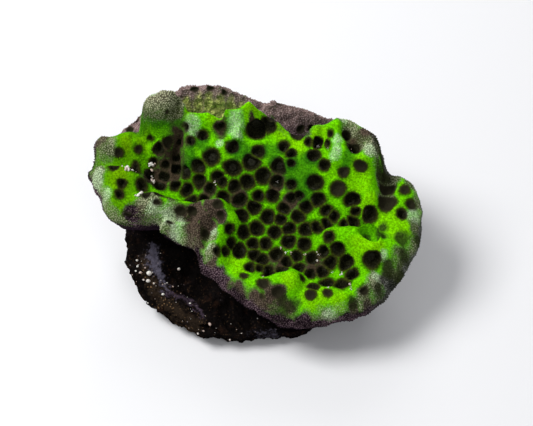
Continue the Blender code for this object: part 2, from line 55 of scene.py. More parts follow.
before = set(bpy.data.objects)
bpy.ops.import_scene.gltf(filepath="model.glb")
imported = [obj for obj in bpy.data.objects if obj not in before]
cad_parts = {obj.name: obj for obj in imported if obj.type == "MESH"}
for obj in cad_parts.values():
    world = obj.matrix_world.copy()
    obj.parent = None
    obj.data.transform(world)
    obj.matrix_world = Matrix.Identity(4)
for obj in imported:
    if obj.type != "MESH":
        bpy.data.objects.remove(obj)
CAD_LOW, CAD_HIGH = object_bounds()
MM = 0.001
BODY = "root"
BOX_SPARE = 0.02 * MM  # how far every piece stays inside the solids' own box

# ---------------------------------------------------------------- the plan of the colony, in millimetres
SHEET_HEIGHT = 20.0  # height of the sheet's plane over the origin
SHEET_SLOPE = 0.28  # rise of that plane towards the back, per millimetre
SEAT_DROP = 9.5  # from the sheet's plane down to where the colony sits on the stone
SEAT_GAP = 0.3  # left between the colony's underside and the stone's top
BOSS_DROP = 5.5  # how far the middle of the underside bulges below its outer part
BOSS_EDGE = (0.86, -0.4)  # where the boss starts, on the way in from the lip, and over how much
LIP_FRONT, LIP_BACK = 3.3, 2.2  # radius of the rolled edge
TOP_SHARE = 0.72  # where the top ends, as a share of the way from its middle to the underside's middle
LIP_SHARE = 0.84  # where the lip has rolled under, the same way
LOST_RELIEF = 0.8  # share of the relief that the underside doesn't follow
DOME_STEEPNESS = 8.0  # how square the profile across a dome is: 2 is a bell, more is a plateau
RIDGE_STEEPNESS = 2.6
HOLLOW_STEEPNESS = 2.0
BLEND = 5.0  # how sharply neighbouring ridges meet
COLONY_CENTRE = (0.0, 5.0)
COLONY_RIM = [
    (36, 2), (35.5, 6.5), (33.5, 10), (29.5, 12.5), (28, 16), (24.5, 20), (18.5, 23), (13, 25), (2, 28),
    (-4, 29.5), (-10, 31), (-14, 31), (-25, 27), (-31.5, 22), (-35, 19), (-35.5, 15.5), (-36.5, 11.5),
    (-34, 6), (-31.5, 2), (-28, 0.5), (-24, 0.5), (-20.5, -1.5), (-14, -4.5), (-11.5, -9), (-7, -13),
    (-0.5, -17.5), (4.5, -20), (11, -21), (17, -20), (23, -18.5), (29, -13), (33.5, -7.5),
]
# Each is a chain of x, y, height over the sheet's plane, half-width.
DOMES = {
    "left knob": [(-21.4, 19.8, 10.7, 3.7), (-18, 20, 10.8, 3.7)],
    "right lobe": [(18.8, 15, 7, 5), (22.8, 12.2, 7.8, 4.8)],
}
RIDGES = {
    "left knob crown": [(-21.4, 19.6, 9.2, 2.6), (-19.6, 20.4, 9.6, 2.8), (-17.6, 19.9, 9.2, 2.4)],
    "left knob foot": [(-20.8, 16, 4.4, 2.6)],
    "left buttress": [(-14.6, 18.4, 6.6, 2.4), (-14.4, 12.6, 4, 2.6), (-13.8, 9, 1.4, 2.4)],
    "back wall": [(-14.4, 19, 7.2, 2.4), (-10.4, 19, 7.4, 2.6), (-7.8, 18.4, 6.2, 2.2)],
    "middle peak": [(-6.2, 18.8, 9.2, 1.5), (-3.6, 19, 9, 2), (-1.4, 19.6, 9.4, 2.2)],
    "peak shoulder": [(-1.4, 19.6, 9.4, 2.4), (1.4, 19.4, 7.2, 2.2), (4.4, 18.2, 5.6, 2.6)],
    "peak flank": [(-3.4, 18.4, 7.2, 1.8), (-4.2, 15, 5.4, 1.8)],
    "saddle": [(4.4, 17.6, 5.6, 2.4), (9.6, 14.8, 3.4, 2.1), (12.8, 16.6, 5.6, 2.2)],
    "right crest": [(12.8, 16.8, 6.2, 2.2), (17.2, 17.2, 6.8, 2.4)],
    "right rib": [(17.2, 17.2, 6.8, 1.7), (17.2, 13.6, 6.2, 1.6), (16.6, 10, 5, 1.6)],
    "right buttress": [(23.6, 10, 5.6, 3), (24.4, 4, 3.6, 2.8)],
    "inner slope": [(-10.6, 14, 4.6, 6.5), (4, 13, 4.8, 7.5), (17, 11, 4.8, 7)],
    "upper left lobe": [(-32, 16.6, 2.6, 3.6), (-28.6, 17, 3.6, 3.6), (-26.4, 16.4, 2.8, 3)],
    "lower left lobe": [(-32.6, 10, 3, 3), (-29.6, 9.2, 3.4, 2.8), (-25.6, 8.3, 2.4, 2.6)],
    "back rim": [(-16, 28, 3, 1.7), (-8, 27.8, 3.6, 1.7), (-1.6, 26, 2, 1.5)],
    "back rim end": [(3.6, 24.8, 2.6, 1.6), (12, 22.6, 2.2, 1.6), (16, 21.6, 1.4, 1.5)],
    "left apron": [(-30.4, 5.6, 2, 4)],
    "front left lip": [(-26.4, 3, 1.8, 3), (-21.8, 3.2, 3.6, 2.9), (-18, 2.8, 3.2, 2.1)],
    "front left bead": [(-18.6, -1, 2, 2.4), (-15.4, -1.8, 2.4, 2.2)],
    "front middle lip": [(-18, 2.8, 3.2, 2.1), (-13.2, 1.8, 2.7, 1.8), (-8.2, 1.5, 4.2, 2.8)],
    "front middle end": [(-8.2, 1.5, 4.2, 2.8), (-5.4, -0.6, 3.5, 2.5)],
    "left flank": [(-10.8, 1.2, 4.4, 2.4), (-11.8, -2.2, 4, 2.2), (-12.2, -5, 2.6, 2)],
    "right flank": [(-7.4, -3, 3.6, 2.4), (-8.8, -6.6, 3.2, 2.4), (-8.8, -9.6, 1.8, 2.4)],
    "front lip": [(-4, -13.4, 1.8, 3.2), (1.6, -14.6, 2.6, 3), (7.2, -12.8, 3.8, 3)],
    "front apron": [(12.2, -15.6, 2.3, 3), (18.4, -16.3, 2.2, 3), (23.6, -13.8, 2, 3)],
    "right front ridge": [(16, -3.6, 3, 2.4), (20.6, -4.2, 3.8, 2.5), (24.2, -7, 3.6, 2.6)],
    "right front end": [(24.2, -7, 3.6, 2.6), (28.8, -6.6, 2.8, 2.8)],
    "right front fold": [
        (20.8, -3.8, 3.2, 0.8), (22.2, -2.4, 2.5, 0.7), (23.7, -1.7, 2.5, 0.7), (25.3, -2.3, 2.6, 0.7),
        (26.3, -4.3, 2.7, 0.7), (26, -6.6, 3.2, 0.8),
    ],
    "right shoulder": [(30, 4.8, 1.8, 4), (30.8, -1.6, 2.2, 3.8)],
    "middle rib": [(6, 3.2, 1, 2.6), (11, -1.5, 0.9, 2.6)],
}
# The same, with depths below what the domes and ridges make.
VALLEYS = {
    "left valley": [(-20, 11.4, 2.8, 4.2), (-15.6, 8.4, 2.6, 4)],
    "knob cleft": [(-16.6, 21, 3, 1.2), (-17.2, 15.6, 2.6, 1.1), (-16.8, 11.6, 1.6, 1.2)],
    "lobe cleft": [(-34.6, 13.4, 2.4, 1.8), (-28.6, 13.2, 2.2, 1.8)],
    "dish": [(2, -4, 1.6, 9), (13, -8.4, 1.8, 8)],
    "back left shelf": [(-30.6, 22.6, 4.6, 4.2), (-25.6, 25, 3.4, 4.2)],
    "back trough": [
        (-14, 23.8, 3.6, 2.2), (-6, 23.6, 3.8, 2), (2, 22.2, 3, 1.8), (8, 19.4, 3, 1.8),
        (13.6, 20, 2.6, 1.6),
    ],
    "right step": [(28.4, 11.4, 2.6, 2.4), (28.4, 5.6, 1.4, 2.4)],
    "right hollow": [(19.8, 15.2, 1.8, 1.4), (21.4, 11.8, 1.4, 1.4)],
    "lip hollow": [(-17, 0.4, 1.2, 1.6), (-14, 0.3, 1.3, 1.4)],
    "right front pocket": [(22.9, -3.3, 1.3, 1.1), (24.5, -4.6, 1.7, 1.2)],
    "flank cleft": [(-10.8, -2.8, 0.9, 0.9), (-11, -5.4, 1.2, 0.9)],
}
# Soft hollows near the margin: x, y, depth, radius.
HOLLOWS = [
    (28.6, -2, 1, 1.5), (31, -4.4, 1, 1.7), (31.2, -7.6, 0.9, 1.6), (28.6, -10.6, 1.2, 2),
    (31.4, -11.2, 0.9, 1.3), (25, -14.6, 0.6, 1.3), (34.6, -3.4, 0.7, 1.2), (-7.6, -12.6, 0.9, 1.7),
    (-10.4, -8.6, 0.5, 1.2), (-3.6, -15.4, 0.7, 1.2), (9, -18.4, 0.6, 1.3), (20.4, -18.2, 0.6, 1.2),
    (-27.2, 1.6, 0.9, 1.4), (-34.8, 12.2, 0.7, 1.3), (26.6, 13.6, 0.9, 1.6), (-24.6, 18.6, 0.5, 1.2),
    (-10.8, -3.6, 0.7, 1.4), (14.8, -20, 0.4, 1), (4.2, -18.6, 0.5, 1.2), (23.6, -17.6, 0.5, 1.1),
]
# Pits: x, y, radius.
PITS = {
    "back wall": [
        (-7.7, 17.3, 1.1), (-11.5, 16.1, 1), (-13.9, 14.6, 0.9), (-5, 13.5, 1.4), (-15, 17, 0.6),
    ],
    "behind the crest": [(8.8, 16.2, 1), (9.8, 20.8, 0.9), (12, 21, 0.9)],
    "back slope": [
        (-9.6, 11.5, 1.8), (-12.5, 10.5, 1.6), (-5, 9.5, 1.9), (-1, 10.5, 2), (0.5, 12.5, 1.4),
        (1.5, 8, 1.7), (5, 9.5, 1.9), (7.5, 10, 0.9), (7.5, 12, 1), (6, 13.5, 1.2),
    ],
    "right slope": [
        (11.3, 14.6, 0.7), (15, 13.4, 0.6), (15.6, 15, 0.5), (14.5, 9.5, 1.1), (12.5, 6.5, 1.7),
        (17.5, 5.5, 1.5), (18.6, 8.2, 1), (22, 8.2, 1.4), (20.5, 3.9, 1.6), (24, 0.9, 1.7),
        (21.2, 1.9, 0.9),
    ],
    "right shoulder": [
        (28, 7.5, 2), (28, 3.5, 2), (31.9, 6.4, 1.1), (33.3, 3, 1.2), (31, 0.5, 1.1), (27.6, 10.2, 0.9),
    ],
    "right front": [(24.4, -9.3, 1.9), (22.7, -15.8, 1)],
    "middle": [
        (-1.9, 7.2, 1.5), (-4.7, 6.6, 1.4), (4.5, 7, 1.5), (7.5, 6.5, 1.1), (-3.4, 4.5, 1.5),
        (0.5, 5, 1.1), (-0.4, 3.3, 1.5), (3.5, 5, 1.3), (10.6, 3, 1.3), (13.2, 3.9, 1.5), (-3, 1.5, 1.4),
        (2.5, 1.5, 1.4), (6, 2.7, 1.3), (5.2, 0.8, 1.1), (9, 1, 1.4), (15, 2, 1.2), (16.5, 1, 1.1),
        (15, -0.2, 1.2), (13, -0.9, 1.2), (20.5, 0, 1.4), (18.8, -0.5, 0.9), (-2.5, -1.9, 1.4),
        (0.1, -0.8, 1.6), (4, -1.5, 1.3), (7, -1, 1.3), (10.5, -1.5, 1.4), (7, -3.4, 1.5),
        (10.2, -4.2, 1.4), (15.2, -4.1, 1.2), (-5.6, -2.6, 1), (-6.2, -6.7, 0.9), (-0.6, -4, 1.3),
        (2, -3.9, 1.3), (4.5, -6.2, 1.5), (6.4, -7.8, 1.3), (8.7, -6.5, 1.2), (12, -7, 1.4),
        (14.3, -6, 1.2), (17.1, -6.1, 1.5), (0.8, -9.3, 0.8), (5.3, -9.9, 1.4), (9.2, -9.2, 1.3),
        (11.5, -10.2, 1.1), (14, -9.8, 1.3), (19, -8.4, 1.6), (15.7, -7.9, 1.4), (20.2, -11, 1.3),
        (18, -13.4, 1.7), (14.9, -12.7, 1.4),
    ],
    "front lip": [
        (1.5, -14.4, 1.1), (1, -17, 0.6), (4.6, -16, 1.3), (-2.4, -12, 0.7), (-1.2, -9.4, 1.1),
        (11.4, -16.3, 1.1), (12, -14.1, 1.2), (15, -16, 0.8), (9.9, -12.3, 0.6),
    ],
    "left front": [
        (-8.2, -7.8, 1), (-7.5, -0.5, 0.9), (-10.8, -3.3, 0.8), (-8, 1.1, 1.1), (-13.5, 1.2, 1.1),
        (-16, 1.3, 1.2), (-18.5, -1.2, 0.8), (-21, 2.2, 0.8), (-17.8, 4.1, 1.3), (-20.6, 4.6, 1.2),
    ],
    "left middle": [
        (-7, 4.6, 1.4), (-11.2, 4.5, 1.3), (-14, 4.9, 1.4), (-15, 7.8, 1.3), (-12.2, 8.3, 1.5),
        (-9.9, 6.5, 1.2), (-15.5, 10.7, 1.5), (-17.5, 9.2, 1.1),
    ],
    "left valley": [
        (-20.9, 14.6, 1.6), (-18.9, 16, 1.4), (-16.6, 16.5, 0.7), (-17.1, 14.8, 0.9), (-17.2, 12.8, 1.2),
        (-19.7, 13.2, 0.9), (-22.9, 11.3, 1.3), (-20, 11.3, 1.3), (-20.8, 9.3, 1.3), (-24.2, 7.2, 1.3),
        (-23.3, 4.3, 1.1), (-22.3, 13.3, 0.9),
    ],
    "left lobes": [
        (-29.7, 14.5, 0.9), (-25.3, 14.7, 0.7), (-26.3, 11.3, 1.5), (-30.4, 10.3, 0.9), (-28.6, 7, 0.8),
        (-29, 4.9, 0.8), (-27.5, 1, 0.9),
    ],
    "left knob": [(-18.6, 17.6, 0.6), (-23, 16.4, 0.7)],
    "back shelf": [(-13.5, 27.5, 1), (-10, 27.5, 0.9), (-7, 26.8, 0.7), (-28, 23, 1)],
}
# Two pits with no wall between them.
OVAL_PITS = [
    ((0.2, 17.6, 2.1), (2.6, 17.7, 1.7)), ((13, 14.5, 1.2), (12.3, 11.6, 1.4)),
    ((19.2, 15.4, 1), (20.6, 12.2, 1.3)), ((-8.2, 8.2, 1.2), (-7.2, 7.4, 1)),
    ((-5.2, -4.8, 1.1), (-3.4, -5.6, 1.6)), ((-0.4, -6.3, 1.2), (1.3, -7.6, 1.4)),
    ((2.5, -9.7, 1.1), (2.8, -10.8, 1.3)), ((7.4, 4.4, 1.2), (9.2, 4.7, 1)),
]
BACK_EDGE = 19.5  # behind this, pits are scattered at random
BACK_SPACING = 5.2  # from a scattered pit to any other, at least
BACK_RADIUS = (0.7, 1.2)  # smallest and largest
BACK_TRIES = 4000
BACK_REACH = (38, 32)  # how far to each side and to the back places are tried
BACK_MARGIN = 1.8  # from a scattered pit to the rim, at least
ROUNDING = 7.0  # how square a crowded pit's corners are
PIT_CHUNK = 8000  # points worked on at a time
PIT_NEIGHBOURS = 6  # how many of the pits nearest to a point shape it

# ---------------------------------------------------------------- the plan of the stone, in millimetres
ROCK_CENTRE = (-2.0, 1.0)
ROCK_RIM = [
    (26, 2), (24, 11), (17, 18.5), (7, 22.5), (-6, 23.5), (-18, 21), (-26, 14), (-29.4, 5.6), (-28.4, -2),
    (-25.4, -8.2), (-19.6, -13.4), (-12.8, -16.8), (-5, -18.6), (4, -18), (13, -15), (21, -8.6),
]
ROCK_WIDEST = 4.5  # height of the stone's widest line
SHELF_DROP = 3.2  # from the colony's seat down to the stone's exposed shelf
SEAT_SPARE = 3.4  # how far the stone would rise past its seat, before it is cut flat there
SEAT_REACH = 0.57  # the seat's share of the way from the colony's centre to its rim
SEAT_SOFT = (0.1, -0.18)  # how far past that share the seat starts to fall, and over how much
ROCK_FOOT = -6.0  # height that the stone would reach down to, before it is cut flat at 0
ROCK_SIDES, ROCK_TOP = 0.8, 0.5  # how round they are: 1 as on a ball, less is squarer
POCKET = (-14.5, -5.0, 4.6, 3.6)  # x, y, radius, depth of the hollow under the colony's lip
POCKET_STEEPNESS = 3
# Roughness of the stone: how high, and how many to a millimetre.
LUMP_HEIGHT, LUMP_DENSITY = 1.5, 0.09
GRAIN_HEIGHT, GRAIN_DENSITY = 0.5, 0.45
RUBBLE_HEIGHT, RUBBLE_DENSITY = 0.42, 0.9
CRUST_HEIGHT = 0.2
CRUST_STEEPNESS = 2.0
CRUST_WANDER = 0.9  # how far the rubble shifts the crusts' edges
CRUST_FOOT = -0.2  # how far down the unit ball the crusts reach
STONE_BACK = (4.0, 8.0)  # where the lichens of the stone's back start, along y, and over how much
# Knobs and hollows of the stone: x, y, z, how far out, radius.
STONE_LUMPS = [
    (21, 13, 5, 2.4, 5), (9, 22, 4, 2.6, 6), (-6, 23, 9, -2.2, 4), (-15, 21, 4, 2.2, 5),
    (-24, 15, 9, 2, 4.5), (-28, 6, 4, -1.8, 4), (24, 3, 9, -2, 4), (23, -6, 4, 2, 4),
    (14, 19, 10, -1.8, 3.5), (2, 22, 14, 1.8, 4), (16, -14, 5, -1.6, 3.5), (6, -18, 3, 1, 4),
    (-20, 19, 13, -1.6, 3), (-9, 21, 2, -1.4, 3), (26, 8, 3, 1.4, 3),
]

# ---------------------------------------------------------------- where the tissue changes colour
PATCH_EDGE = (1.35, -0.9)  # where a patch's edge starts, in radii, and over how much it fades
# Each patch is x, y, radius in millimetres on the plate seen from above.
PATCHES = {
    "cap": [],  # on the knob alone, by its height
    "cream": [
        (-32.4, 15.8, 2.1), (20, 19, 1.4), (-34.4, 9.2, 2.2), (-22.8, 1.8, 2.8), (-18.6, -0.4, 2.6),
        (-9.2, -4.6, 1.3), (-9.8, -7.4, 1.6), (25.2, -13.4, 2.2), (23, -17.2, 2.2), (14.6, -20.6, 2),
        (24.6, 11.6, 2.2), (25.6, 13.4, 1.6), (29.6, 10.4, 1.6), (20.4, 17, 2), (18.5, 18.4, 1.4),
    ],
    "white": [
        (-34.2, 8.4, 1.7), (-32, 5.2, 1.3), (-4.4, 17.3, 1.6), (-3.8, 15.6, 1.1), (-7.8, 14.4, 0.9),
        (17.4, 13.4, 1.2), (17, 11.4, 1.3), (18.6, 18, 0.9), (24.2, 11, 1.4), (33.8, 0.8, 1.6),
        (25.6, -12.4, 1.2), (27, -8.4, 0.8), (15.4, -20, 1.4), (-13.6, 17.4, 1.5), (-18.8, 0.2, 1.6),
        (-15.8, -0.9, 1.3), (-21.6, 1.6, 1.1), (-17.3, -2.4, 1.5), (-22, 22.2, 0.9), (-9, -3.6, 0.7),
        (-10.2, -6.4, 0.7),
    ],
    "mauve": [
        (-11.7, 28.4, 6), (-3, 27.4, 5.5), (7.3, 23, 5.5), (13.4, 22.4, 4.5), (-28.6, 23.2, 4.4),
        (-21, 26.8, 3.8), (-16.4, 27, 3), (28, 13.4, 1.8), (26.4, 14.6, 2), (28, -12.4, 1.8),
        (4.4, -20.6, 2.4), (9.8, -20.6, 1.8), (-7.9, -11.9, 2), (-26.6, 1.2, 1.6), (9.6, 18, 2.4),
        (4.6, 20.8, 2.4), (1.6, 25.4, 3.4), (1, 22.6, 2),
    ],
    "dim": [
        (34.2, -1.4, 1.8), (33.8, -5.8, 2), (31, -8.4, 2.4), (28.4, -11.4, 2.4), (25.4, -14.8, 1.6),
        (35, 4.4, 1.4), (27.8, 4.4, 1.8), (27.8, 8.4, 2.2), (23.4, 14.6, 2.4), (25.4, 12.6, 2),
        (29.6, 11, 1.8), (-24.6, 2.2, 1.6), (-27.4, 1.6, 1), (33.2, 8.6, 1.4), (-14.2, -2.6, 1.8),
    ],
    "fawn": [
        (-9.6, 1.2, 2.2), (-10.2, -1.6, 2.6), (-12.6, -0.8, 2.4), (-13.4, -3, 1.8), (-15.4, 0.4, 1.8),
        (-12.6, 1.6, 1.4), (-7.6, -0.6, 1.6), (-11.4, -3.6, 1.6), (3.6, -17.2, 2.6), (-0.4, -17, 2),
        (-4, -15.2, 2), (7, -18.6, 1.9), (23.4, -17.4, 1.4), (20.6, -18.8, 1.2), (-7.6, -12.2, 2.2),
        (-9.6, -9.8, 1.6), (5.2, -15.8, 1.2), (-18.4, -3, 1.8), (-12.2, -5, 1.6), (-24.6, 1.2, 1.2),
        (23.4, 15.4, 1.7), (-33.6, 17, 2), (28.4, 11.8, 1.3),
    ],
    "shallow": [
        (23.7, -3.6, 2.4), (-29.7, 14.5, 1.6), (-25.3, 14.7, 1.4), (28, 7.5, 2.6), (28, 3.5, 2.6),
        (-18.9, 16, 1.6), (-13.5, 1.2, 1.4), (-16, 1.3, 1.5), (-7.5, -0.6, 1.6), (-8, 1.1, 1.4),
        (4.6, -16, 1.8), (1.5, -14.4, 1.4), (1, -17, 1), (22, 8.2, 1.8), (18.6, 8.2, 1.4),
        (17.5, 5.5, 1.6), (-2.4, -12, 1), (15, -16, 1), (11.4, -16.3, 1.2), (31.9, 6.4, 1.6),
        (33.3, 3, 1.6),
    ],
    "wall": [
        (-15.2, 25.5, 1.2), (-12.8, 25.6, 1.3), (-10.4, 25.6, 1.3), (-8, 25.4, 1.3), (-5.6, 25.1, 1.2),
        (-3.2, 24.5, 1.1),
    ],
    "brown": [
        (-18.7, 12.8, 3.2), (-21, 10.8, 2.6), (-16.6, 14.6, 2), (-23, 9.8, 1.6), (4.4, 7, 1.8),
        (7.2, 3.7, 1.9), (-3.7, 4.9, 1.8), (12.5, -8.2, 2.2), (4.4, -7.8, 2), (-17, 15.8, 1.8),
        (-17, 19, 1.6), (-18.4, 14.4, 1.8), (-16.6, 21.6, 1.6), (21.6, 14, 2.2), (-8, -11.8, 1.4),
        (28.2, 8.8, 1.2), (-7.6, 17, 1.6), (-0.8, 17.8, 0.8), (-10.2, 5.8, 1.5),
    ],
    # Painted highlight: where these patches lie, yellow-green is laid on the crests as light falling on them.
    "painted_highlight": [
        (-14.6, 19.3, 1.8), (-9.2, 18.6, 1.8), (-1, 19.2, 2), (5, 16.7, 2.2), (21.8, 6.7, 2.8),
        (23.4, 2.5, 2.4), (28.2, -0.2, 3), (30.8, -2.2, 2.6), (-3.7, -8.8, 2.8), (7.1, -13.4, 2.4),
        (12.4, -16.6, 3.4), (17.1, -17.6, 2.2), (22.1, -6.5, 2.6), (25.2, -7.5, 2.4), (-28, 15.6, 1.4),
        (-29.3, 8.4, 2.4), (-24.6, 16.2, 1.6), (8.8, 14, 2.4), (13.1, 15.6, 2),
    ],
    # Painted shade: deep green laid on slopes and hollows that lie in shade.
    "deep": [
        (-14.7, 12.3, 2.2), (-11.4, 14.1, 1.8), (-3.7, 12.9, 2.6), (3.4, 12.3, 2.4), (8.2, 8.8, 3),
        (11, 10, 2.6), (19.4, 10.2, 1.6), (10.4, 5.9, 2.4), (-23.6, 18.4, 1.8), (27, 13, 1.8),
    ],
    "shade": [
        (5.6, -16.8, 1.2), (27, -1.6, 1.1), (31, -4.2, 1.6), (31.8, -7.6, 1.5), (27.8, -10.4, 1.7),
        (30.4, -10.8, 1.4), (26, -14.6, 1.2), (34.6, -3.4, 1), (20.3, -17.8, 1.1), (8, -17.6, 1.4),
        (6, -18.6, 1.4), (26.4, -3.6, 1.4), (23.4, -3.9, 1.3), (26.6, 9.6, 1.2), (26.8, 12, 1.6),
        (26.2, 14, 1.2), (28, 10.6, 1.4), (-10.8, -3.4, 0.9), (-34.8, 12.2, 1.2), (1.2, 22.8, 1.2),
    ],
}
# Where each part of the plate starts, along x or y, and over how much it comes in.
FAR, WEST, RIGHT = (19.0, 4.0), (-20.0, -8.0), (22.0, 7.0)
LEFT_LIP_X, LEFT_LIP_Y = (-9.0, -4.0), [(6.0, -3.0), (-7.0, 3.0)]
FRONT_LIP_X, FRONT_LIP_Y = (16.0, -6.0), (-6.0, -6.0)
FROSTED_EDGE = (2.3, -2.2)  # the same, inwards from the rim
MARGIN_START, MARGIN_BAND = 0.24, 0.2  # the same, in shares of the lip's roll
# The knob changes colour with height over the sheet: mask, from how high, over how much.
KNOB = (-20.4, 19.8)
KNOB_RADIUS = 5.8  # how far from the knob's middle its colours reach
KNOB_LEAN = 0.8  # how much lower the colours reach for each millimetre towards the back
# The deep band is painted shade under the knob's top; the other bands are its colours.
KNOB_BANDS = [("deep", 2.4, 1.6), ("dim", 5.0, 2.0), ("cream", 8.4, 1.6), ("cap", 10.0, 1.6)]
# Sand grains that lie on the plate: x, y, size.
CAUGHT_GRAINS = [
    (-22.9, 13.4, 1.5), (-22.6, 12.6, 1.1), (-27.6, 10.4, 1.3), (-27, 10.9, 1.4), (-26.4, 10.8, 0.9),
    (-22.5, 10.6, 0.9), (-22.2, 9.8, 0.8), (-24.9, 4.5, 1.4), (-24.5, 5.3, 1), (-8.8, 7.5, 0.6),
    (4.5, 8.2, 0.5), (13.2, 14.7, 0.8), (20.3, 12.3, 0.8), (15.3, 12.6, 0.3), (5.3, -4.8, 0.7),
    (6.4, -5.7, 0.6), (7.4, -5.7, 0.5), (10.6, -5.9, 0.5), (13.2, -6.1, 0.6), (13, -7.3, 0.5),
    (18.2, -10.5, 0.6), (16.1, -10, 0.3), (19.7, -14.2, 0.6), (19.8, -15.2, 0.5), (15.1, -14.7, 0.4),
    (1.5, -12.2, 0.4),
]
# Crusts on the stone: each is a chain of x, y, strength, half-width.
CRUSTS = {
    "bluish": [
        [(-22.6, 1.6, 1, 1.4), (-22.6, -1.4, 1, 1.6), (-21.4, -4, 1, 1.1), (-19.6, -7.4, 0.9, 0.9)],
        [(-0.5, -18, 0.5, 1.6), (4, -18, 0.5, 1.4)],
    ],
    "purple": [
        [
            (-19.6, -7.6, 0.9, 0.9), (-17.6, -9.2, 0.8, 0.8), (-14.6, -10.4, 0.9, 0.9),
            (-12.6, -12.7, 0.9, 0.7), (-11.4, -14.6, 0.8, 0.6),
        ],
    ],
    "tan": [
        [
            (-24.8, -0.8, 0.8, 1.3), (-23.6, -4.6, 0.9, 1.7), (-20.8, -9.6, 0.8, 2.2),
            (-17.2, -13.2, 0.9, 2.2), (-12.4, -16.2, 0.9, 1.5),
        ],
    ],
}
# Pebbles on the stone, x, y, size, and drifts of grains there, x, y, spread, how many.
STONE_PEBBLES = [
    (-23.6, -4, 1.1), (-16.9, -2.4, 0.8), (-10, -16.6, 0.8), (-26.2, -0.7, 0.7), (-26, -2.2, 0.6),
    (-25.4, -3.6, 0.7), (-23.7, -5.6, 0.9), (-24.8, -4.8, 0.5), (-14.2, -11.2, 0.5),
]
STONE_GRAINS = [
    (-24.2, -3.6, 3.4, 12), (-22, -7.6, 2.6, 8), (-17.6, -6.4, 4, 7), (-13, -16, 6, 12),
    (-6, -17.6, 5, 7),
]

# ---------------------------------------------------------------- the finer skin
SKIN_CUTS = (31, 3)  # rounds of cuts along the edges of the cubes that the skins start from
STONE_CUTS = (31, 2)
TUCKED = 0.6  # share of the lip's roll up to which it counts as the top
SOFT_LOSS = 0.55  # share of its depth that a soft pit lacks
# Layers of waves: height, pitch and seed, in millimetres.
PIT_WAVES = [(0.16, 1.1, 7.0), (0.14, 2.6, 1.0)]
SKIN_WAVES = [(0.6, 5.0, 2.0), (0.4, 1.8, 5.0)]
RIM_WAVES = [(0.55, 2.6, 9.0), (0.2, 0.9, 4.0)]
BACK_WAVES = [(0.45, 1.7, 6.0), (0.25, 0.8, 8.0)]
SOFT_PLACES = ("cap", "cream", "mauve", "dim", "fawn", "shallow")
FROSTED_PLACES = ("cap", "cream", "mauve", "fawn")
BARE_EDGE = 0.12  # from the edge of a pit to the nearest granule
BARE_ROLL = 0.75  # share of the lip's roll past which it has no granules
MARGIN_FROST = 0.4  # granules that are more frosted than this are the margin's
GRANULE_RADIUS = (0.3, 0.46)  # least and greatest, in granule spacings
CUP_ROOM = 0.35  # how far inside its pit's edge a cup's place is, at least
CUP_SHARE, CUP_RADIUS = 0.66, (0.34, 1.1)  # share of the pit's radius; least and greatest radius
GRAIN_LIFT = 0.25  # height of a sand grain's middle over the skin, in grain sizes
PIT_SEED, GRANULE_SEED, CALICE_SEED, SAND_SEED = 11, 5, 8, 3

# ---------------------------------------------------------------- settings
def length(name, description, default, smallest=0.0):
    return bpy.props.FloatProperty(
        name=name, description=description, default=default * MM, min=smallest * MM, unit="LENGTH"
    )


def tint(name, description, *default):
    return bpy.props.FloatVectorProperty(
        name=name, description=description, subtype="COLOR", default=default
    )


class CoralSettings(bpy.types.PropertyGroup):
    pit_depth: length("Pit depth", "From a ridge down to the floor of a pit", 1.5)
    pit_wall: length("Pit wall", "How far in from its edge a pit reaches its full depth", 0.95, 0.1)
    ridge_width: length("Ridge width", "Wall left between two crowded pits", 0.44)
    waviness: length("Waviness", "Height of the tissue's own unevenness", 0.34)
    granule_gap: length("Granule spacing", "Distance between neighbouring granules of the tissue", 0.42, 0.2)
    green: tint("Green", "Ridges between the pits", 0.046, 0.185, 0.002)
    bright_green: tint("Bright green", "Broad ridges", 0.124, 0.51, 0.001)
    # Yellow green is partly the tissue's own tone in random blotches and partly a painted highlight on lit
    # crests.
    yellow_green_and_highlight: tint("Yellow green", "Crests and the apron", 0.203, 0.565, 0.001)
    deep_green: tint("Deep green", "Shaded slopes", 0.018, 0.125, 0.004)
    cream: tint("Cream", "Frosted tips", 0.45, 0.465, 0.29)
    white: tint("White", "Palest tips", 0.52, 0.68, 0.42)
    mauve: tint("Mauve", "Growing margin", 0.026, 0.014, 0.021)
    lilac: tint("Lilac", "Granules of the growing margin", 0.24, 0.165, 0.185)
    rose: tint("Rose", "Granules of the rim at the back", 0.42, 0.32, 0.305)
    tan: tint("Tan", "Rim at the back", 0.19, 0.128, 0.118)
    wall: tint("Back wall", "Inner side of the rim at the back", 0.64, 0.66, 0.20)
    # Olive is partly the walls' own colour and partly painted shade at the pits' edges.
    olive: tint("Olive", "Thin walls and the edges of pits", 0.036, 0.046, 0.005)
    khaki: tint("Khaki", "Tissue between the frosted tips", 0.050, 0.066, 0.022)
    # Painted shade: the dark plum stands for the shade under the rolled lip.
    plum_shade_under_lip: tint("Plum", "Underside of the lip", 0.018, 0.010, 0.017)
    cap: tint("Knob cap", "Top of the knob", 0.105, 0.098, 0.060)
    ash: tint("Ash", "Growing margin at the right", 0.050, 0.055, 0.042)
    frost: tint("Frost", "Granules of the margin at the right", 0.21, 0.22, 0.19)
    shade: tint("Shade", "Soft hollows near the margin", 0.022, 0.028, 0.009)
    fawn: tint("Fawn", "Bare tissue of the front lip", 0.085, 0.062, 0.044)
    brown: tint("Brown", "Ridges of the left valley", 0.050, 0.036, 0.022)
    west_tint: tint("Left tint", "Dulls the lobes at the left", 0.75, 0.60, 1.0)
    soft_pit: tint("Soft pit", "Floor of a shallow pit near the margin", 0.023, 0.021, 0.012)
    pit: tint("Pit", "Floor of a pit", 0.0080, 0.0082, 0.0038)


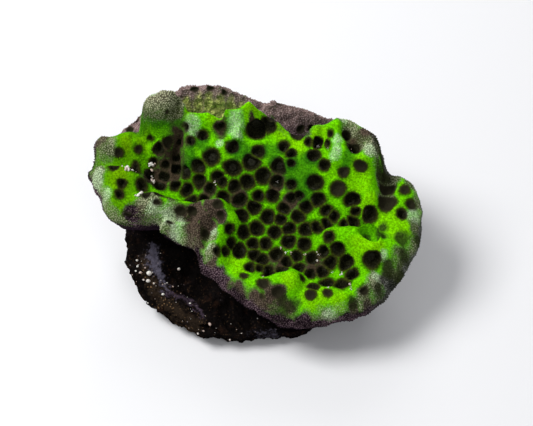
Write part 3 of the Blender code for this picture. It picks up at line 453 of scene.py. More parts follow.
class StoneSettings(bpy.types.PropertyGroup):
    # Partly painted shadow: the bare stone is near-black, partly its own colour and partly the shadow of the
    # plate above it.
    dark_stone_and_shadow: tint("Stone", "Bare stone", 0.0034, 0.0027, 0.0026)
    rust: tint("Rust", "Stains on the bare stone", 0.018, 0.009, 0.006)
    bluish: tint("Bluish crust", "Thin crust under the lip", 0.080, 0.074, 0.100)
    purple: tint("Purple crust", "Coralline crust", 0.050, 0.035, 0.050)
    tan: tint("Tan crust", "Worn rim of the shelf", 0.050, 0.034, 0.022)
    grit: tint("Grit", "Specks in the crusts", 0.26, 0.155, 0.075)
    dust: tint("Dust", "Pale specks on the bare stone", 0.24, 0.20, 0.20)
    sand: tint("Sand", "Loose shell sand", 0.72, 0.70, 0.64)
    warm_sand: tint("Warm sand", "Stained parts of the sand", 0.50, 0.37, 0.31)


class StageSettings(bpy.types.PropertyGroup):
    floor: tint("Floor", "Plain floor", 0.74, 0.74, 0.75)
    sky: tint("Sky", "Soft light from all round", 0.93, 0.95, 1.0)
    look_at: bpy.props.FloatVectorProperty(
        name="Look at", description="Point in the middle of the view", subtype="XYZ", unit="LENGTH",
        default=(2.24 * MM, 10.83 * MM, 7.58 * MM),
    )
    elevation: bpy.props.FloatProperty(
        name="Elevation", description="Height of the camera over the horizon", subtype="ANGLE",
        default=math.radians(55),
    )
    distance: length("Distance", "From the camera to the point it looks at", 331.6)


# ---------------------------------------------------------------- shape functions, in millimetres
def periodic_curve(points, centre):
    """A function of the angle about centre that gives the outline's radius, smooth through the points."""
    offsets = np.array(points) - np.array(centre)
    angles = np.arctan2(offsets[:, 1], offsets[:, 0])
    order = np.argsort(angles)
    angles, radii = angles[order], np.hypot(*offsets[order].T)
    turn = 2 * math.pi
    angles = np.concatenate([angles[-2:] - turn, angles, angles[:2] + turn])
    radii = np.concatenate([radii[-2:], radii, radii[:2]])
    slopes = np.gradient(radii, angles)

    def radius(angle):
        i = np.clip(np.searchsorted(angles, angle) - 1, 0, len(angles) - 2)
        step = angles[i + 1] - angles[i]
        t = (angle - angles[i]) / step
        return (
            (1 + 2 * t) * (1 - t) ** 2 * radii[i]
            + t * (1 - t) ** 2 * step * slopes[i]
            + t**2 * (3 - 2 * t) * radii[i + 1]
            + t**2 * (t - 1) * step * slopes[i + 1]
        )

    return radius


colony_radius = periodic_curve(COLONY_RIM, COLONY_CENTRE)
rock_radius = periodic_curve(ROCK_RIM, ROCK_CENTRE)


def past(value, start, band):
    """0 up to start, then rising smoothly to 1 over band; a negative band rises the other way."""
    t = np.clip((value - start) / band, 0.0, 1.0)
    return t * t * (3 - 2 * t)


def chain_height(x, y, chain, steepness):
    links = list(zip(chain, chain[1:])) or [(chain[0], chain[0])]
    best = np.zeros_like(x)
    for (ax, ay, ah, aw), (bx, by, bh, bw) in links:
        length_squared = max((bx - ax) ** 2 + (by - ay) ** 2, 1e-9)
        t = np.clip(((x - ax) * (bx - ax) + (y - ay) * (by - ay)) / length_squared, 0, 1)
        away = np.hypot(x - ax - t * (bx - ax), y - ay - t * (by - ay))
        profile = np.exp(-((away / (aw + t * (bw - aw))) ** steepness))
        best = np.maximum(best, (ah + t * (bh - ah)) * profile)
    return best


def relief(x, y):
    """Height of the colony's domes, ridges and valleys over the sheet's plane."""
    heights = [chain_height(x, y, chain, DOME_STEEPNESS) for chain in DOMES.values()]
    heights += [chain_height(x, y, chain, RIDGE_STEEPNESS) for chain in RIDGES.values()]
    raised = sum(height**BLEND for height in heights) ** (1 / BLEND)
    sunk = sum(chain_height(x, y, chain, RIDGE_STEEPNESS) for chain in VALLEYS.values())
    sunk += sum(chain_height(x, y, [hollow], HOLLOW_STEEPNESS) for hollow in HOLLOWS)
    return raised - sunk


def plane(y):
    return SHEET_HEIGHT + SHEET_SLOPE * y


def colony_reach(x, y):
    """How far each place is from the colony's centre, and how far the rim is in that direction."""
    dx, dy = x - COLONY_CENTRE[0], y - COLONY_CENTRE[1]
    return np.hypot(dx, dy), colony_radius(np.arctan2(dy, dx))


def sheet_form(ball):
    """The colony's smooth skin, for points of a unit ball, and how far round its lip each has rolled."""
    s = np.arccos(np.clip(ball[:, 2], -1, 1)) / math.pi
    angle = np.arctan2(ball[:, 1], ball[:, 0])
    lip = (LIP_FRONT + LIP_BACK) / 2 - (LIP_FRONT - LIP_BACK) / 2 * np.sin(angle)
    flat = colony_radius(angle) - lip

    outward = np.sin(math.pi * s / 2) / math.sin(math.pi * TOP_SHARE / 2)
    roll = math.pi * np.clip((s - TOP_SHARE) / (LIP_SHARE - TOP_SHARE), 0, 1)
    inward = np.clip((1 - s) / (1 - LIP_SHARE), 0, 1)
    reach = np.where(s < TOP_SHARE, flat * outward, flat + lip * np.sin(roll))
    reach = np.where(s > LIP_SHARE, flat * inward, reach)

    x = COLONY_CENTRE[0] + reach * np.cos(angle)
    y = COLONY_CENTRE[1] + reach * np.sin(angle)
    follow = 1 - LOST_RELIEF * past(roll / math.pi, 0, 1)
    boss = BOSS_DROP * past(inward, *BOSS_EDGE) * (s > LIP_SHARE)
    z = plane(y) + relief(x, y) * follow - lip * (1 - np.cos(roll)) - boss
    return np.column_stack([x, y, z]), roll / math.pi


def place_pits():
    """Centres on the sheet, radii and numbers of the pits: the named ones, and some along the back.

    The two halves of an oval pit share its number.
    """
    plan = [half for pair in OVAL_PITS for half in pair] + [pit for place in PITS.values() for pit in place]
    random = np.random.RandomState(PIT_SEED)
    side, back = BACK_REACH
    x, y = random.uniform(-side, side, BACK_TRIES), random.uniform(BACK_EDGE, back, BACK_TRIES)
    out, rim = colony_reach(x, y)
    inside = out < rim - BACK_MARGIN
    for x, y, radius in zip(x[inside], y[inside], random.uniform(*BACK_RADIUS, inside.sum())):
        if min(math.hypot(x - px, y - py) for px, py, _ in plan) > BACK_SPACING:
            plan.append((x, y, radius))
    x, y, radii = np.array(plan).T
    numbers = np.arange(len(plan))
    numbers[: 2 * len(OVAL_PITS)] //= 2
    return np.column_stack([x, y, plane(y) + relief(x, y)]), radii, numbers


def pit_inset(points, centres, radii, numbers, ridge_width):
    """How far inside the edge of its pit each point is; negative on the ridges.

    A pit is a round hole whose sides give way softly where a neighbour crowds it.
    """
    inset = np.empty(len(points))
    for start in range(0, len(points), PIT_CHUNK):
        chunk = points[start : start + PIT_CHUNK]
        away = np.linalg.norm(chunk[:, None] - centres[None], axis=2)
        order = np.argpartition(away, PIT_NEIGHBOURS, axis=1)[:, :PIT_NEIGHBOURS]
        near = np.take_along_axis(away, order, 1)
        rank = np.argsort(near, axis=1)
        order, near = np.take_along_axis(order, rank, 1), np.take_along_axis(near, rank, 1)
        own, out = order[:, 0], near[:, 0]
        filled = (out / radii[own]) ** ROUNDING
        for k in range(1, PIT_NEIGHBOURS):
            apart = np.linalg.norm(centres[order[:, k]] - centres[own], axis=1)
            towards = (out**2 - near[:, k] ** 2 + apart**2) / (2 * apart)
            walled = numbers[order[:, k]] != numbers[own]
            filled += walled * (np.clip(towards, 0, None) / ((apart - ridge_width) / 2)) ** ROUNDING
        filled **= 1 / ROUNDING
        inset[start : start + PIT_CHUNK] = out / np.maximum(filled, 1e-6) - out
    return inset


def rock_form(ball):
    """The stone's skin before it is roughened, for points of a unit ball."""
    angle = np.arctan2(ball[:, 1], ball[:, 0])
    reach = rock_radius(angle) * np.hypot(ball[:, 0], ball[:, 1]) ** ROCK_SIDES
    x = ROCK_CENTRE[0] + reach * np.cos(angle)
    y = ROCK_CENTRE[1] + reach * np.sin(angle)

    out, rim = colony_reach(x, y)
    wider, fall = SEAT_SOFT
    seat = past(out / rim, SEAT_REACH + wider, fall)
    top = plane(y) - SEAT_DROP - SHELF_DROP + (SHELF_DROP + SEAT_SPARE) * seat
    px, py, radius, depth = POCKET
    top -= depth * np.exp(-((np.hypot(x - px, y - py) / radius) ** POCKET_STEEPNESS)) * (1 - seat)
    up = np.clip(ball[:, 2], 0, 1) ** ROCK_TOP
    down = np.clip(-ball[:, 2], 0, 1)
    z = ROCK_WIDEST + up * (top - ROCK_WIDEST) - down * (ROCK_WIDEST - ROCK_FOOT)
    return np.column_stack([x, y, z])


def lumps(points):
    """How far the stone's knobs push out, and its hollows draw in, at each point."""
    out = np.zeros(len(points))
    for x, y, z, height, radius in STONE_LUMPS:
        out += height * np.exp(-((np.linalg.norm(points - (x, y, z), axis=1) / radius) ** 2))
    return out


def wave(points, pitch, seed=0.0):
    """Smooth noise between about -1 and 1 at each point, with lumps about pitch across."""
    return np.array([noise.noise(Vector(p) / pitch + Vector((seed, seed, seed))) for p in points])


def waves(points, layers):
    """Several waves in one: each layer has its height, pitch and seed."""
    return sum(height * wave(points, pitch, seed) for height, pitch, seed in layers)


def broken(points, density, *settings):
    """Rough noise at each point: how many lumps to a millimetre, then dimension, lacunarity, octaves."""
    return np.array([noise.fractal(Vector(p) * density, *settings) for p in points])


def patch_mask(x, y, patches, wobble):
    """How far each point belongs to a set of round patches, with ragged edges."""
    mask = np.zeros_like(x)
    for px, py, radius in patches:
        mask = np.maximum(mask, past(np.hypot(x - px, y - py) / radius + wobble, *PATCH_EDGE))
    return mask


# ---------------------------------------------------------------- meshes
def read(items, field, width):
    """The field of every item, as rows of width numbers."""
    values = np.empty(len(items) * width, np.float32)
    items.foreach_get(field, values)
    return values.reshape(-1, width).astype(float)


def coords(mesh):
    return read(mesh.vertices, "co", 3)


def normals(mesh):
    return read(mesh.vertex_normals, "vector", 3)


def kept_mask(mesh, name):
    return read(mesh.attributes[name].data, "value", 1)[:, 0]


def strongest(mesh, names):
    return np.max([kept_mask(mesh, name) for name in names], axis=0)


def set_coords(mesh, points):
    mesh.vertices.foreach_set("co", points.astype(np.float32).ravel())
    mesh.update()


def keep_mask(mesh, name, values):
    """Stores one number a vertex, for the piece's material to read."""
    layer = mesh.attributes.get(name) or mesh.attributes.new(name, "FLOAT", "POINT")
    layer.data.foreach_set("value", np.asarray(values, np.float32))


def add_to_mask(mesh, name, values):
    keep_mask(mesh, name, np.maximum(kept_mask(mesh, name), values))


def start_from(primitive, **sizes):
    """Adds a primitive with nothing else selected, and gives its object."""
    bpy.ops.object.select_all(action="DESELECT")
    primitive(**sizes)
    return bpy.context.object


def in_edit_mode(*steps):
    """Runs each step, a mesh operator and its settings, on the whole of the active mesh."""
    bpy.ops.object.mode_set(mode="EDIT")
    bpy.ops.mesh.select_all(action="SELECT")
    for step, settings in steps:
        step(**settings)
    bpy.ops.object.mode_set(mode="OBJECT")


def start_ball(name, rounds):
    """A cube subdivided in edit mode, in rounds of cuts, and blown up into an even unit ball."""
    made = start_from(bpy.ops.mesh.primitive_cube_add, size=2)
    made.name = made.data.name = name
    in_edit_mode(*((bpy.ops.mesh.subdivide, {"number_cuts": cuts}) for cuts in rounds))
    x, y, z = coords(made.data).T
    ball = np.column_stack([
        x * np.sqrt(1 - y * y / 2 - z * z / 2 + y * y * z * z / 3),
        y * np.sqrt(1 - z * z / 2 - x * x / 2 + z * z * x * x / 3),
        z * np.sqrt(1 - x * x / 2 - y * y / 2 + x * x * y * y / 3),
    ])
    return made, ball


def small_ball(segments, rings):
    """A ball of triangles, the start of a small pattern that is repeated."""
    made = start_from(
        bpy.ops.mesh.primitive_uv_sphere_add, segments=segments, ring_count=rings, radius=1.0
    )
    in_edit_mode((bpy.ops.mesh.quads_convert_to_tris, {}))
    return made


def skin_normals(mesh, points):
    """Normals of the mesh with its vertices at these points, given in millimetres."""
    set_coords(mesh, points * MM)
    return normals(mesh)


def into_box(points):
    """Keeps points, in metres, inside the solids' own box."""
    return np.clip(points, np.array(CAD_LOW) + BOX_SPARE, np.array(CAD_HIGH) - BOX_SPARE)


def finish_piece(piece, material, slot, *replaced):
    piece.data.materials.clear()
    piece.data.materials.append(material)
    piece.data.shade_smooth()
    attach(piece, BODY)
    if replaced:
        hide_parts(*replaced)


def frames_on(normal, random):
    """A right-handed frame for each normal, turned at random about it."""
    helper = random.normal(size=normal.shape)
    side = np.cross(helper, normal)
    side /= np.linalg.norm(side, axis=1)[:, None]
    return np.stack([side, np.cross(normal, side), normal], axis=2)


def repeat_pattern(name, pattern, places, frames, sizes):
    """One piece made of copies of a small pattern object, each with its own place, frame and size.

    Gives the piece, how many vertices a copy has, and the height of each in the pattern.
    """
    shape = coords(pattern.data)
    faces = np.array([list(face.vertices) for face in pattern.data.polygons])
    bpy.data.objects.remove(pattern)
    sized = shape[None] * sizes[:, None, :]
    points = places[:, None] + np.einsum("nij,nkj->nki", frames, sized)
    corners = faces[None] + (np.arange(len(places)) * len(shape))[:, None, None]
    mesh = bpy.data.meshes.new(name)
    mesh.from_pydata(
        into_box(points.reshape(-1, 3)).tolist(), [], corners.reshape(-1, faces.shape[1]).tolist()
    )
    made = bpy.data.objects.new(name, mesh)
    bpy.context.scene.collection.objects.link(made)
    return made, len(shape), shape[:, 2]


def scattered(mesh, allowed, gap, random, tries_each=5):
    """Places spread over the faces whose corners are all allowed, none nearer than gap to another.

    Gives the places and, for each, a corner of the face that it lies on.
    """
    corners = np.empty(len(mesh.loops), np.int32)
    mesh.loops.foreach_get("vertex_index", corners)
    corners = corners.reshape(-1, 4)
    corners = corners[allowed[corners].all(axis=1)]
    points = coords(mesh)[corners]
    area = np.linalg.norm(np.cross(points[:, 2] - points[:, 0], points[:, 3] - points[:, 1]), axis=1) / 2
    tries = int(tries_each * area.sum() / gap**2)
    face = random.choice(len(area), tries, p=area / area.sum())
    u, v = random.uniform(0, 1, (2, tries, 1))
    a, b, c, d = points[face].transpose(1, 0, 2)
    places = (1 - u) * (1 - v) * a + u * (1 - v) * b + u * v * c + (1 - u) * v * d
    tree = kdtree.KDTree(tries)
    for index, place in enumerate(places):
        tree.insert(place, index)
    tree.balance()
    free, kept = np.ones(tries, bool), []
    for index, place in enumerate(places):
        if free[index]:
            kept.append(index)
            for _, other, _ in tree.find_range(place, gap):
                free[other] = False
    return places[kept], corners[face[kept], 0]


# ---------------------------------------------------------------- shader wiring
class Wire:
    """A shader socket that can be used in sums: each operator adds the Math node that it stands for."""

    def __init__(self, paint, socket):
        self.paint = paint
        self.socket = socket

    def _math(self, operation, first, second, clamp=False):
        settings = {"operation": operation, "use_clamp": clamp}
        return self.paint.node("ShaderNodeMath", settings, {0: first, 1: second})

    def __add__(self, other):
        return self._math("ADD", self, other)

    __radd__ = __add__

    def __sub__(self, other):
        return self._math("SUBTRACT", self, other)

    def __rsub__(self, other):
        return self._math("SUBTRACT", other, self)

    def __mul__(self, other):
        return self._math("MULTIPLY", self, other)

    __rmul__ = __mul__

    def clamped(self):
        return self._math("ADD", self, 0.0, clamp=True)


class Paint:
    """One material's node tree."""

    def __init__(self, name):
        self.material = bpy.data.materials.new(name)
        self.material.use_nodes = True
        self.tree = self.material.node_tree
        self.tree.nodes.clear()

    def node(self, kind, settings=None, inputs=None, out=0):
        """Adds a node: its settings first, then the value or link of each socket. Gives the wanted output."""
        made = self.tree.nodes.new(kind)
        for key, value in (settings or {}).items():
            setattr(made, key, value)
        for key, value in (inputs or {}).items():
            if isinstance(value, Wire):
                self.tree.links.new(value.socket, made.inputs[key])
            else:
                made.inputs[key].default_value = value
        return Wire(self, made.outputs[out]) if made.outputs else None

    def place(self):
        return self.node("ShaderNodeTexCoord", out="Object")

    def mask(self, name):
        return self.node("ShaderNodeAttribute", {"attribute_name": name}, out="Fac")

    def cover(self, name, gain):
        """A mask made stronger or weaker, held between 0 and 1."""
        return (self.mask(name) * gain).clamped()

    def noise(self, size, detail=3.0, roughness=0.55):
        """Noise between 0 and 1 whose features are about size millimetres across."""
        sockets = {"Vector": self.place(), "Scale": 1 / (size * MM), "Detail": detail, "Roughness": roughness}
        return self.node("ShaderNodeTexNoise", None, sockets, out="Fac")

    def cells(self, size):
        sockets = {"Vector": self.place(), "Scale": 1 / (size * MM)}
        return self.node("ShaderNodeTexVoronoi", None, sockets, out="Distance")

    def between(self, value, low, high):
        """0 below low and 1 above high, smoothly; low may be the greater."""
        sockets = {"Value": value, "From Min": low, "From Max": high}
        return self.node("ShaderNodeMapRange", {"interpolation_type": "SMOOTHSTEP"}, sockets)

    def mottle(self, size, low, high, **settings):
        return self.between(self.noise(size, **settings), low, high)

    def specks(self, size, low, high):
        return self.between(self.cells(size), low, high)

    def mix(self, first, second, factor, blend="MIX"):
        sockets = {"Factor": factor, 6: self.rgba(first), 7: self.rgba(second)}
        return self.node("ShaderNodeMix", {"data_type": "RGBA", "blend_type": blend}, sockets, out=2)

    def times(self, first, second, factor=1.0):
        return self.mix(first, second, factor, "MULTIPLY")

    def rgba(self, value):
        return value if isinstance(value, Wire) else (*value, 1.0)

    def bump(self, height, distance, strength=1.0):
        sockets = {"Height": height, "Distance": distance * MM, "Strength": strength}
        return self.node("ShaderNodeBump", None, sockets)

    def finish(self, colour, roughness, normal=None, **sockets):
        """The Principled shader and the output. Other sockets are constants, by name with spaces as _."""
        inputs = {"Base Color": self.rgba(colour), "Roughness": roughness}
        if normal is not None:
            inputs["Normal"] = normal
        inputs.update({key.replace("_", " "): value for key, value in sockets.items()})
        shader = self.node("ShaderNodeBsdfPrincipled", None, inputs)
        self.node("ShaderNodeOutputMaterial", None, {"Surface": shader})
        return self.material


def shaded(colour, factor):
    return tuple(factor * channel for channel in colour)


# ---------------------------------------------------------------- materials
def tissue_colour(paint, look):
    """The ridges' greens and browns, from the masks kept on the mesh, and the noises that vary them, with
    painted shade towards the pits and on shaded slopes and painted highlights on crests.
    """
    blotch = paint.noise(3.4, detail=2.0) - 0.5
    ragged = paint.noise(0.8, detail=2.0) - 0.5
    # Painted shade: olive at a pit's edge, then green and bright green further from it. This is partly the
    # tissue's colour and partly shade falling into the pits.
    wall = paint.mask("inset") * -1 + ragged * 0.3
    skin = paint.mix(look.olive, look.green, paint.between(wall, 0.06, 0.46))
    skin = paint.mix(skin, look.bright_green, paint.between(wall + blotch * 0.7, 0.28, 0.95))
    # Painted highlight: yellow-green on the highlight patches, and in random blotches, away from the pits'
    # edges.
    yellow_and_highlight = paint.mask("painted_highlight") * 0.75 + blotch * 1.1 + ragged * 0.3 - 0.05
    skin = paint.mix(skin, look.yellow_green_and_highlight, (yellow_and_highlight * paint.between(wall, 0.1, 0.6)).clamped())
    # Painted shade: deep green where the deep patches and the knob's deep band lie, with random blotches of
    # it.
    skin = paint.mix(skin, look.deep_green, (paint.mask("deep") * 0.85 + blotch * 0.6 - 0.1).clamped())
    skin = paint.mix(skin, look.brown, paint.cover("brown", 1.1 + blotch * 2.2 + ragged))
    return paint.times(skin, look.west_tint, paint.mask("west")), blotch, ragged


def margin_colour(paint, look, grain):
    """Mauve and lilac at the front, ash and frost at the right, tan and rose along the back."""
    right, far = paint.mask("right"), paint.mask("far")
    base = paint.mix(paint.mix(look.mauve, look.ash, right), look.tan, far)
    tips = paint.mix(paint.mix(look.lilac, look.frost, right), look.rose, far)
    tone = 0.55 + paint.mottle(5.0, 0.36, 0.64, detail=1.0) * 0.9
    tone = (0.45 + paint.mottle(1.3, 0.3, 0.7) * 0.5) * (tone * (1 - far) + far * 1.22)
    return paint.times(paint.mix(base, tips, grain * 0.7), tone)


def frosted(paint, look, skin, grain, blotch):
    """Lays the frosting and the margin over the tissue's colour; grain is 1 on granule tips."""
    ragged = 1.15 + blotch * 1.8
    dim = paint.mix(look.khaki, look.cream, grain * 0.4)
    skin = paint.mix(skin, dim, paint.cover("dim", ragged) * 0.93)
    bare = paint.cover("fawn", ragged)
    skin = paint.mix(skin, paint.mix(shaded(look.fawn, 0.6), shaded(look.fawn, 1.5), grain), bare)
    frost = paint.cover("cream", ragged) * (1.0 - 0.75 * bare)
    skin = paint.mix(skin, look.khaki, frost * 0.92)
    skin = paint.mix(skin, look.cream, frost * (0.1 + 0.75 * grain))
    skin = paint.mix(skin, paint.mix(look.cap, look.cream, grain), paint.cover("cap", ragged))
    skin = paint.mix(skin, look.white, paint.cover("white", ragged) * (0.35 + 0.5 * grain))
    margin = paint.cover("mauve", 1.3 + blotch * 1.8)
    skin = paint.mix(skin, margin_colour(paint, look, grain), margin)
    wall = paint.mix(look.wall, shaded(look.wall, 0.5), paint.specks(1.1, 0.3, 0.6))
    skin = paint.mix(skin, wall, paint.cover("wall", ragged) * 0.9)
    skin = paint.mix(skin, look.shade, paint.cover("shade", 1.1 + blotch) * 0.9)
    # Painted shade: dark plum where the lip rolls under.
    return paint.mix(skin, look.plum_shade_under_lip, paint.between(paint.mask("roll") + blotch * 0.12, 0.5, 0.72))


def tissue_material(look):
    paint = Paint("coral_tissue")
    skin, blotch, ragged = tissue_colour(paint, look)
    dots = paint.specks(0.4, 0.55, 0.16)
    skin = frosted(paint, look, skin, dots, blotch)
    speckle = paint.noise(0.45, detail=2.0, roughness=0.7)
    skin = paint.times(skin, 0.6 + paint.between(speckle, 0.32, 0.68) * 0.7)
    floor = paint.mix(look.pit, shaded(look.pit, 3.2), paint.mottle(0.42, 0.42, 0.75))
    floor = paint.mix(floor, look.soft_pit, paint.mask("soft") * 0.8)
    skin = paint.mix(skin, floor, paint.between(paint.mask("inset") + ragged * 0.3, -0.2, 0.32))
    return paint.finish(skin, 0.7, paint.bump(dots * 0.7 + speckle * 0.5, 0.14, 0.9), Specular_IOR_Level=0.0)


def granule_material(look):
    paint = Paint("coral_granules")
    skin, blotch, _ = tissue_colour(paint, look)
    tip = paint.mask("tip")
    skin = frosted(paint, look, skin, tip, blotch)
    mottle = paint.mottle(0.45, 0.32, 0.68, detail=2.0, roughness=0.7)
    # Painted highlight: each granule grows lighter towards its top, as a glint of light on it.
    return paint.finish(paint.times(skin, 0.55 + tip * 0.35 + mottle * 0.45), 0.6, Specular_IOR_Level=0.0)


def calice_material(look):
    paint = Paint("coral_calices")
    raised = paint.mottle(0.4, 0.4, 0.7, detail=2.0) * (0.4 + 0.5 * paint.mask("tip"))
    cup = paint.mix(look.pit, shaded(look.pit, 3.0), raised)
    return paint.finish(cup, 0.5, paint.bump(paint.noise(0.15), 0.05), Specular_IOR_Level=0.08)


def stone_material(look):
    paint = Paint("live_rock")
    blotch = paint.noise(4.5, detail=4.0)
    fine = paint.noise(0.55, roughness=0.7)
    # Painted shadow: the near-black bare stone stands partly for the shadow of the plate above it.
    skin = paint.mix(look.dark_stone_and_shadow, shaded(look.dark_stone_and_shadow, 2.0), paint.between(blotch, 0.4, 0.75))
    skin = paint.mix(skin, look.rust, paint.mottle(2.4, 0.54, 0.72) * 0.8)
    for name, crust in (("tan", shaded(look.tan, 0.45)), ("purple", look.purple), ("bluish", look.bluish)):
        cover = paint.between(paint.mask(name) + (fine - 0.5) * 1.5 + (blotch - 0.5) * 0.6, 0.3, 0.95)
        skin = paint.mix(skin, crust, cover * 0.9)
    lichen, back = paint.noise(7.0, detail=4.0), paint.mask("back")
    skin = paint.mix(skin, look.purple, paint.between(lichen + fine * 0.12, 0.56, 0.64) * back)
    skin = paint.mix(skin, look.tan, paint.between(lichen - fine * 0.12, 0.40, 0.30) * back)
    grit = paint.specks(0.62, 0.34, 0.14) * paint.mottle(1.6, 0.42, 0.6)
    grit = grit * (0.12 + paint.mask("tan") * 0.9 + back * 0.3).clamped()
    skin = paint.mix(skin, look.grit, grit)
    dust = paint.specks(1.3, 0.16, 0.07) * paint.between(blotch, 0.5, 0.6)
    skin = paint.times(paint.mix(skin, look.dust, dust * 0.7), 0.5 + fine)
    pores = paint.specks(0.9, 0.05, 0.35)
    normal = paint.bump(pores * 0.5 + fine * 0.9 + grit * 0.8, 0.3)
    return paint.finish(skin, 0.65, normal, Specular_IOR_Level=0.0)


def sand_material(look):
    paint = Paint("shell_sand")
    grain = paint.mix(look.sand, look.warm_sand, paint.mottle(1.6, 0.42, 0.6))
    return paint.finish(grain, 0.5, paint.bump(paint.noise(0.12), 0.04))


# ---------------------------------------------------------------- pieces
def tissue_masks(mesh, skin, roll, inset):
    """Keeps on the mesh what the tissue's material needs to know."""
    x, y = skin[:, 0], skin[:, 1]
    ragged = 0.35 * wave(skin, 1.6, 3.0)
    on_top = roll < TUCKED
    for name, patches in PATCHES.items():
        keep_mask(mesh, name, patch_mask(x, y, patches, ragged))
    left_lip = past(x, *LEFT_LIP_X) * past(y, *LEFT_LIP_Y[0]) * past(y, *LEFT_LIP_Y[1])
    start = MARGIN_START + 0.1 * wave(skin, 4.5, 12.0) + 0.14 * left_lip
    edge = past(roll + 0.25 * ragged, start, MARGIN_BAND) * (1 - 0.4 * left_lip * on_top)
    add_to_mask(mesh, "mauve", edge)
    out, rim = colony_reach(x, y)
    frosting = past(rim - out - 1.8 * ragged, *FROSTED_EDGE) * (1 - 0.7 * edge)
    front = past(y, *FRONT_LIP_Y) * past(x, *FRONT_LIP_X)
    add_to_mask(mesh, "cream", (0.7 - 0.55 * front) * frosting * (y < FAR[0]))
    add_to_mask(mesh, "fawn", front * frosting)
    over = skin[:, 2] - plane(y) + KNOB_LEAN * (y - KNOB[1]) + ragged
    by_knob = past(np.hypot(x - KNOB[0], y - KNOB[1]), KNOB_RADIUS, -1.0) * on_top
    for name, low, band in KNOB_BANDS:
        add_to_mask(mesh, name, by_knob * past(over, low, band))
    keep_mask(mesh, "soft", strongest(mesh, SOFT_PLACES))
    keep_mask(mesh, "far", past(y, *FAR))
    keep_mask(mesh, "west", past(x, *WEST))
    keep_mask(mesh, "right", past(x, *RIGHT))
    keep_mask(mesh, "inset", np.clip(inset, -3.0, 1.5))
    keep_mask(mesh, "roll", roll)


class CORAL_OT_plate(bpy.types.Operator):
    """Grow the colony's plate with its ridges, knobs, pits and rolled lip"""

    bl_idname = "coral.grow_plate"
    bl_label = "Grow plate"

    def execute(self, context):
        look = context.scene.coral_settings
        plate, ball = start_ball("coral_plate", SKIN_CUTS)
        skin, roll = sheet_form(ball)
        normal = skin_normals(plate.data, skin)
        inset = pit_inset(skin, *place_pits(), look.ridge_width / MM)
        inset += (0.12 + waves(skin, PIT_WAVES)) * (inset > -2.0)
        tissue_masks(plate.data, skin, roll, inset)
        on_top = roll < TUCKED
        pit = past(inset, 0, look.pit_wall / MM) * on_top * (1 - SOFT_LOSS * kept_mask(plate.data, "soft"))
        swell = look.waviness / MM * (waves(skin, SKIN_WAVES) - 0.6)
        swell += past(roll, 0, 0.25) * past(roll, 0.85, -0.2) * (waves(skin, RIM_WAVES) - 0.2)
        swell += past(skin[:, 1], 20.0, 3.0) * on_top * (waves(skin, BACK_WAVES) - 0.1)
        points = skin - normal * (look.pit_depth / MM * pit - swell)[:, None]
        points[:, 2] = np.maximum(points[:, 2], plane(points[:, 1]) - SEAT_DROP)
        set_coords(plate.data, into_box(points * MM))
        finish_piece(plate, tissue_material(look), "coral_tissue", "coral_colony")
        return {"FINISHED"}


class CORAL_OT_granules(bpy.types.Operator):
    """Scatter the granules that make the tissue rough"""

    bl_idname = "coral.scatter_granules"
    bl_label = "Scatter granules"

    def execute(self, context):
        look = context.scene.coral_settings
        plate = bpy.data.objects["coral_plate"].data
        normal = normals(plate)
        frost = strongest(plate, FROSTED_PLACES)
        random = np.random.RandomState(GRANULE_SEED)
        material = granule_material(look)
        allowed = (kept_mask(plate, "inset") < -BARE_EDGE) & (kept_mask(plate, "roll") < BARE_ROLL)
        places, chosen = scattered(plate, allowed, look.granule_gap, random)
        is_margin = frost[chosen] > MARGIN_FROST
        for name, part in (("margin_granules", is_margin), ("ridge_granules", ~is_margin)):
            members = chosen[part]
            count = len(members)
            width = look.granule_gap * random.uniform(*GRANULE_RADIUS, count)
            tall = width * (0.4 + 0.9 * frost[members]) * random.uniform(0.7, 1.2, count)
            sizes = np.column_stack([width, width * random.uniform(0.8, 1.1, count), tall])
            frames = frames_on(normal[members], random)
            piece, each, up = repeat_pattern(name, small_ball(6, 3), places[part], frames, sizes)
            for mask in ("inset", "roll", "far", "right", "west", *PATCHES):
                keep_mask(piece.data, mask, np.repeat(kept_mask(plate, mask)[members], each))
            # Height within each granule. Its material makes the top paler and lighter, partly frosting and
            # partly painted highlight.
            keep_mask(piece.data, "tip", np.tile((up + 1) / 2, count))
            finish_piece(piece, material, "coral_tissue")
        return {"FINISHED"}


def calice_pattern():
    """The disc that a polyp leaves in its pit: a low cushion with a sunken middle and six folds."""
    disc = small_ball(12, 5)
    x, y, z = coords(disc.data).T
    reach, angle = np.hypot(x, y), np.arctan2(y, x)
    folds = 0.12 * np.cos(6 * angle) * past(reach, 0.25, 0.5)
    mouth = 0.42 * np.exp(-((reach / 0.3) ** 2))
    set_coords(disc.data, np.column_stack([x, y, 0.34 * z + (z > 0.02) * (folds - mouth)]))
    return disc


class CORAL_OT_calices(bpy.types.Operator):
    """Set the polyps' cups on the floors of the pits"""

    bl_idname = "coral.set_calices"
    bl_label = "Set calices"

    def execute(self, context):
        plate = bpy.data.objects["coral_plate"].data
        points, normal = coords(plate), normals(plate)
        centres, radii, _ = place_pits()
        top = np.flatnonzero(kept_mask(plate, "roll") < 0.1)
        around = np.linalg.norm(points[top][None] - centres[:, None] * MM, axis=2)
        hollow = kept_mask(plate, "inset") - 2.0 * (kept_mask(plate, "soft") > 0.6)
        deep = np.where(around < radii[:, None] * MM, hollow[top][None], -9)
        best = np.argmax(deep - 0.2 * around / MM, axis=1)
        real = deep[np.arange(len(centres)), best] > CUP_ROOM
        deepest = top[best][real]
        sizes = np.repeat(np.clip(radii[real] * CUP_SHARE, *CUP_RADIUS)[:, None] * MM, 3, axis=1)
        frames = frames_on(normal[deepest], np.random.RandomState(CALICE_SEED))
        piece, _, up = repeat_pattern("calices", calice_pattern(), points[deepest], frames, sizes)
        keep_mask(piece.data, "tip", np.tile(np.clip(up * 2.5, 0, 1), len(deepest)))
        finish_piece(piece, calice_material(context.scene.coral_settings), "coral_tissue")
        return {"FINISHED"}


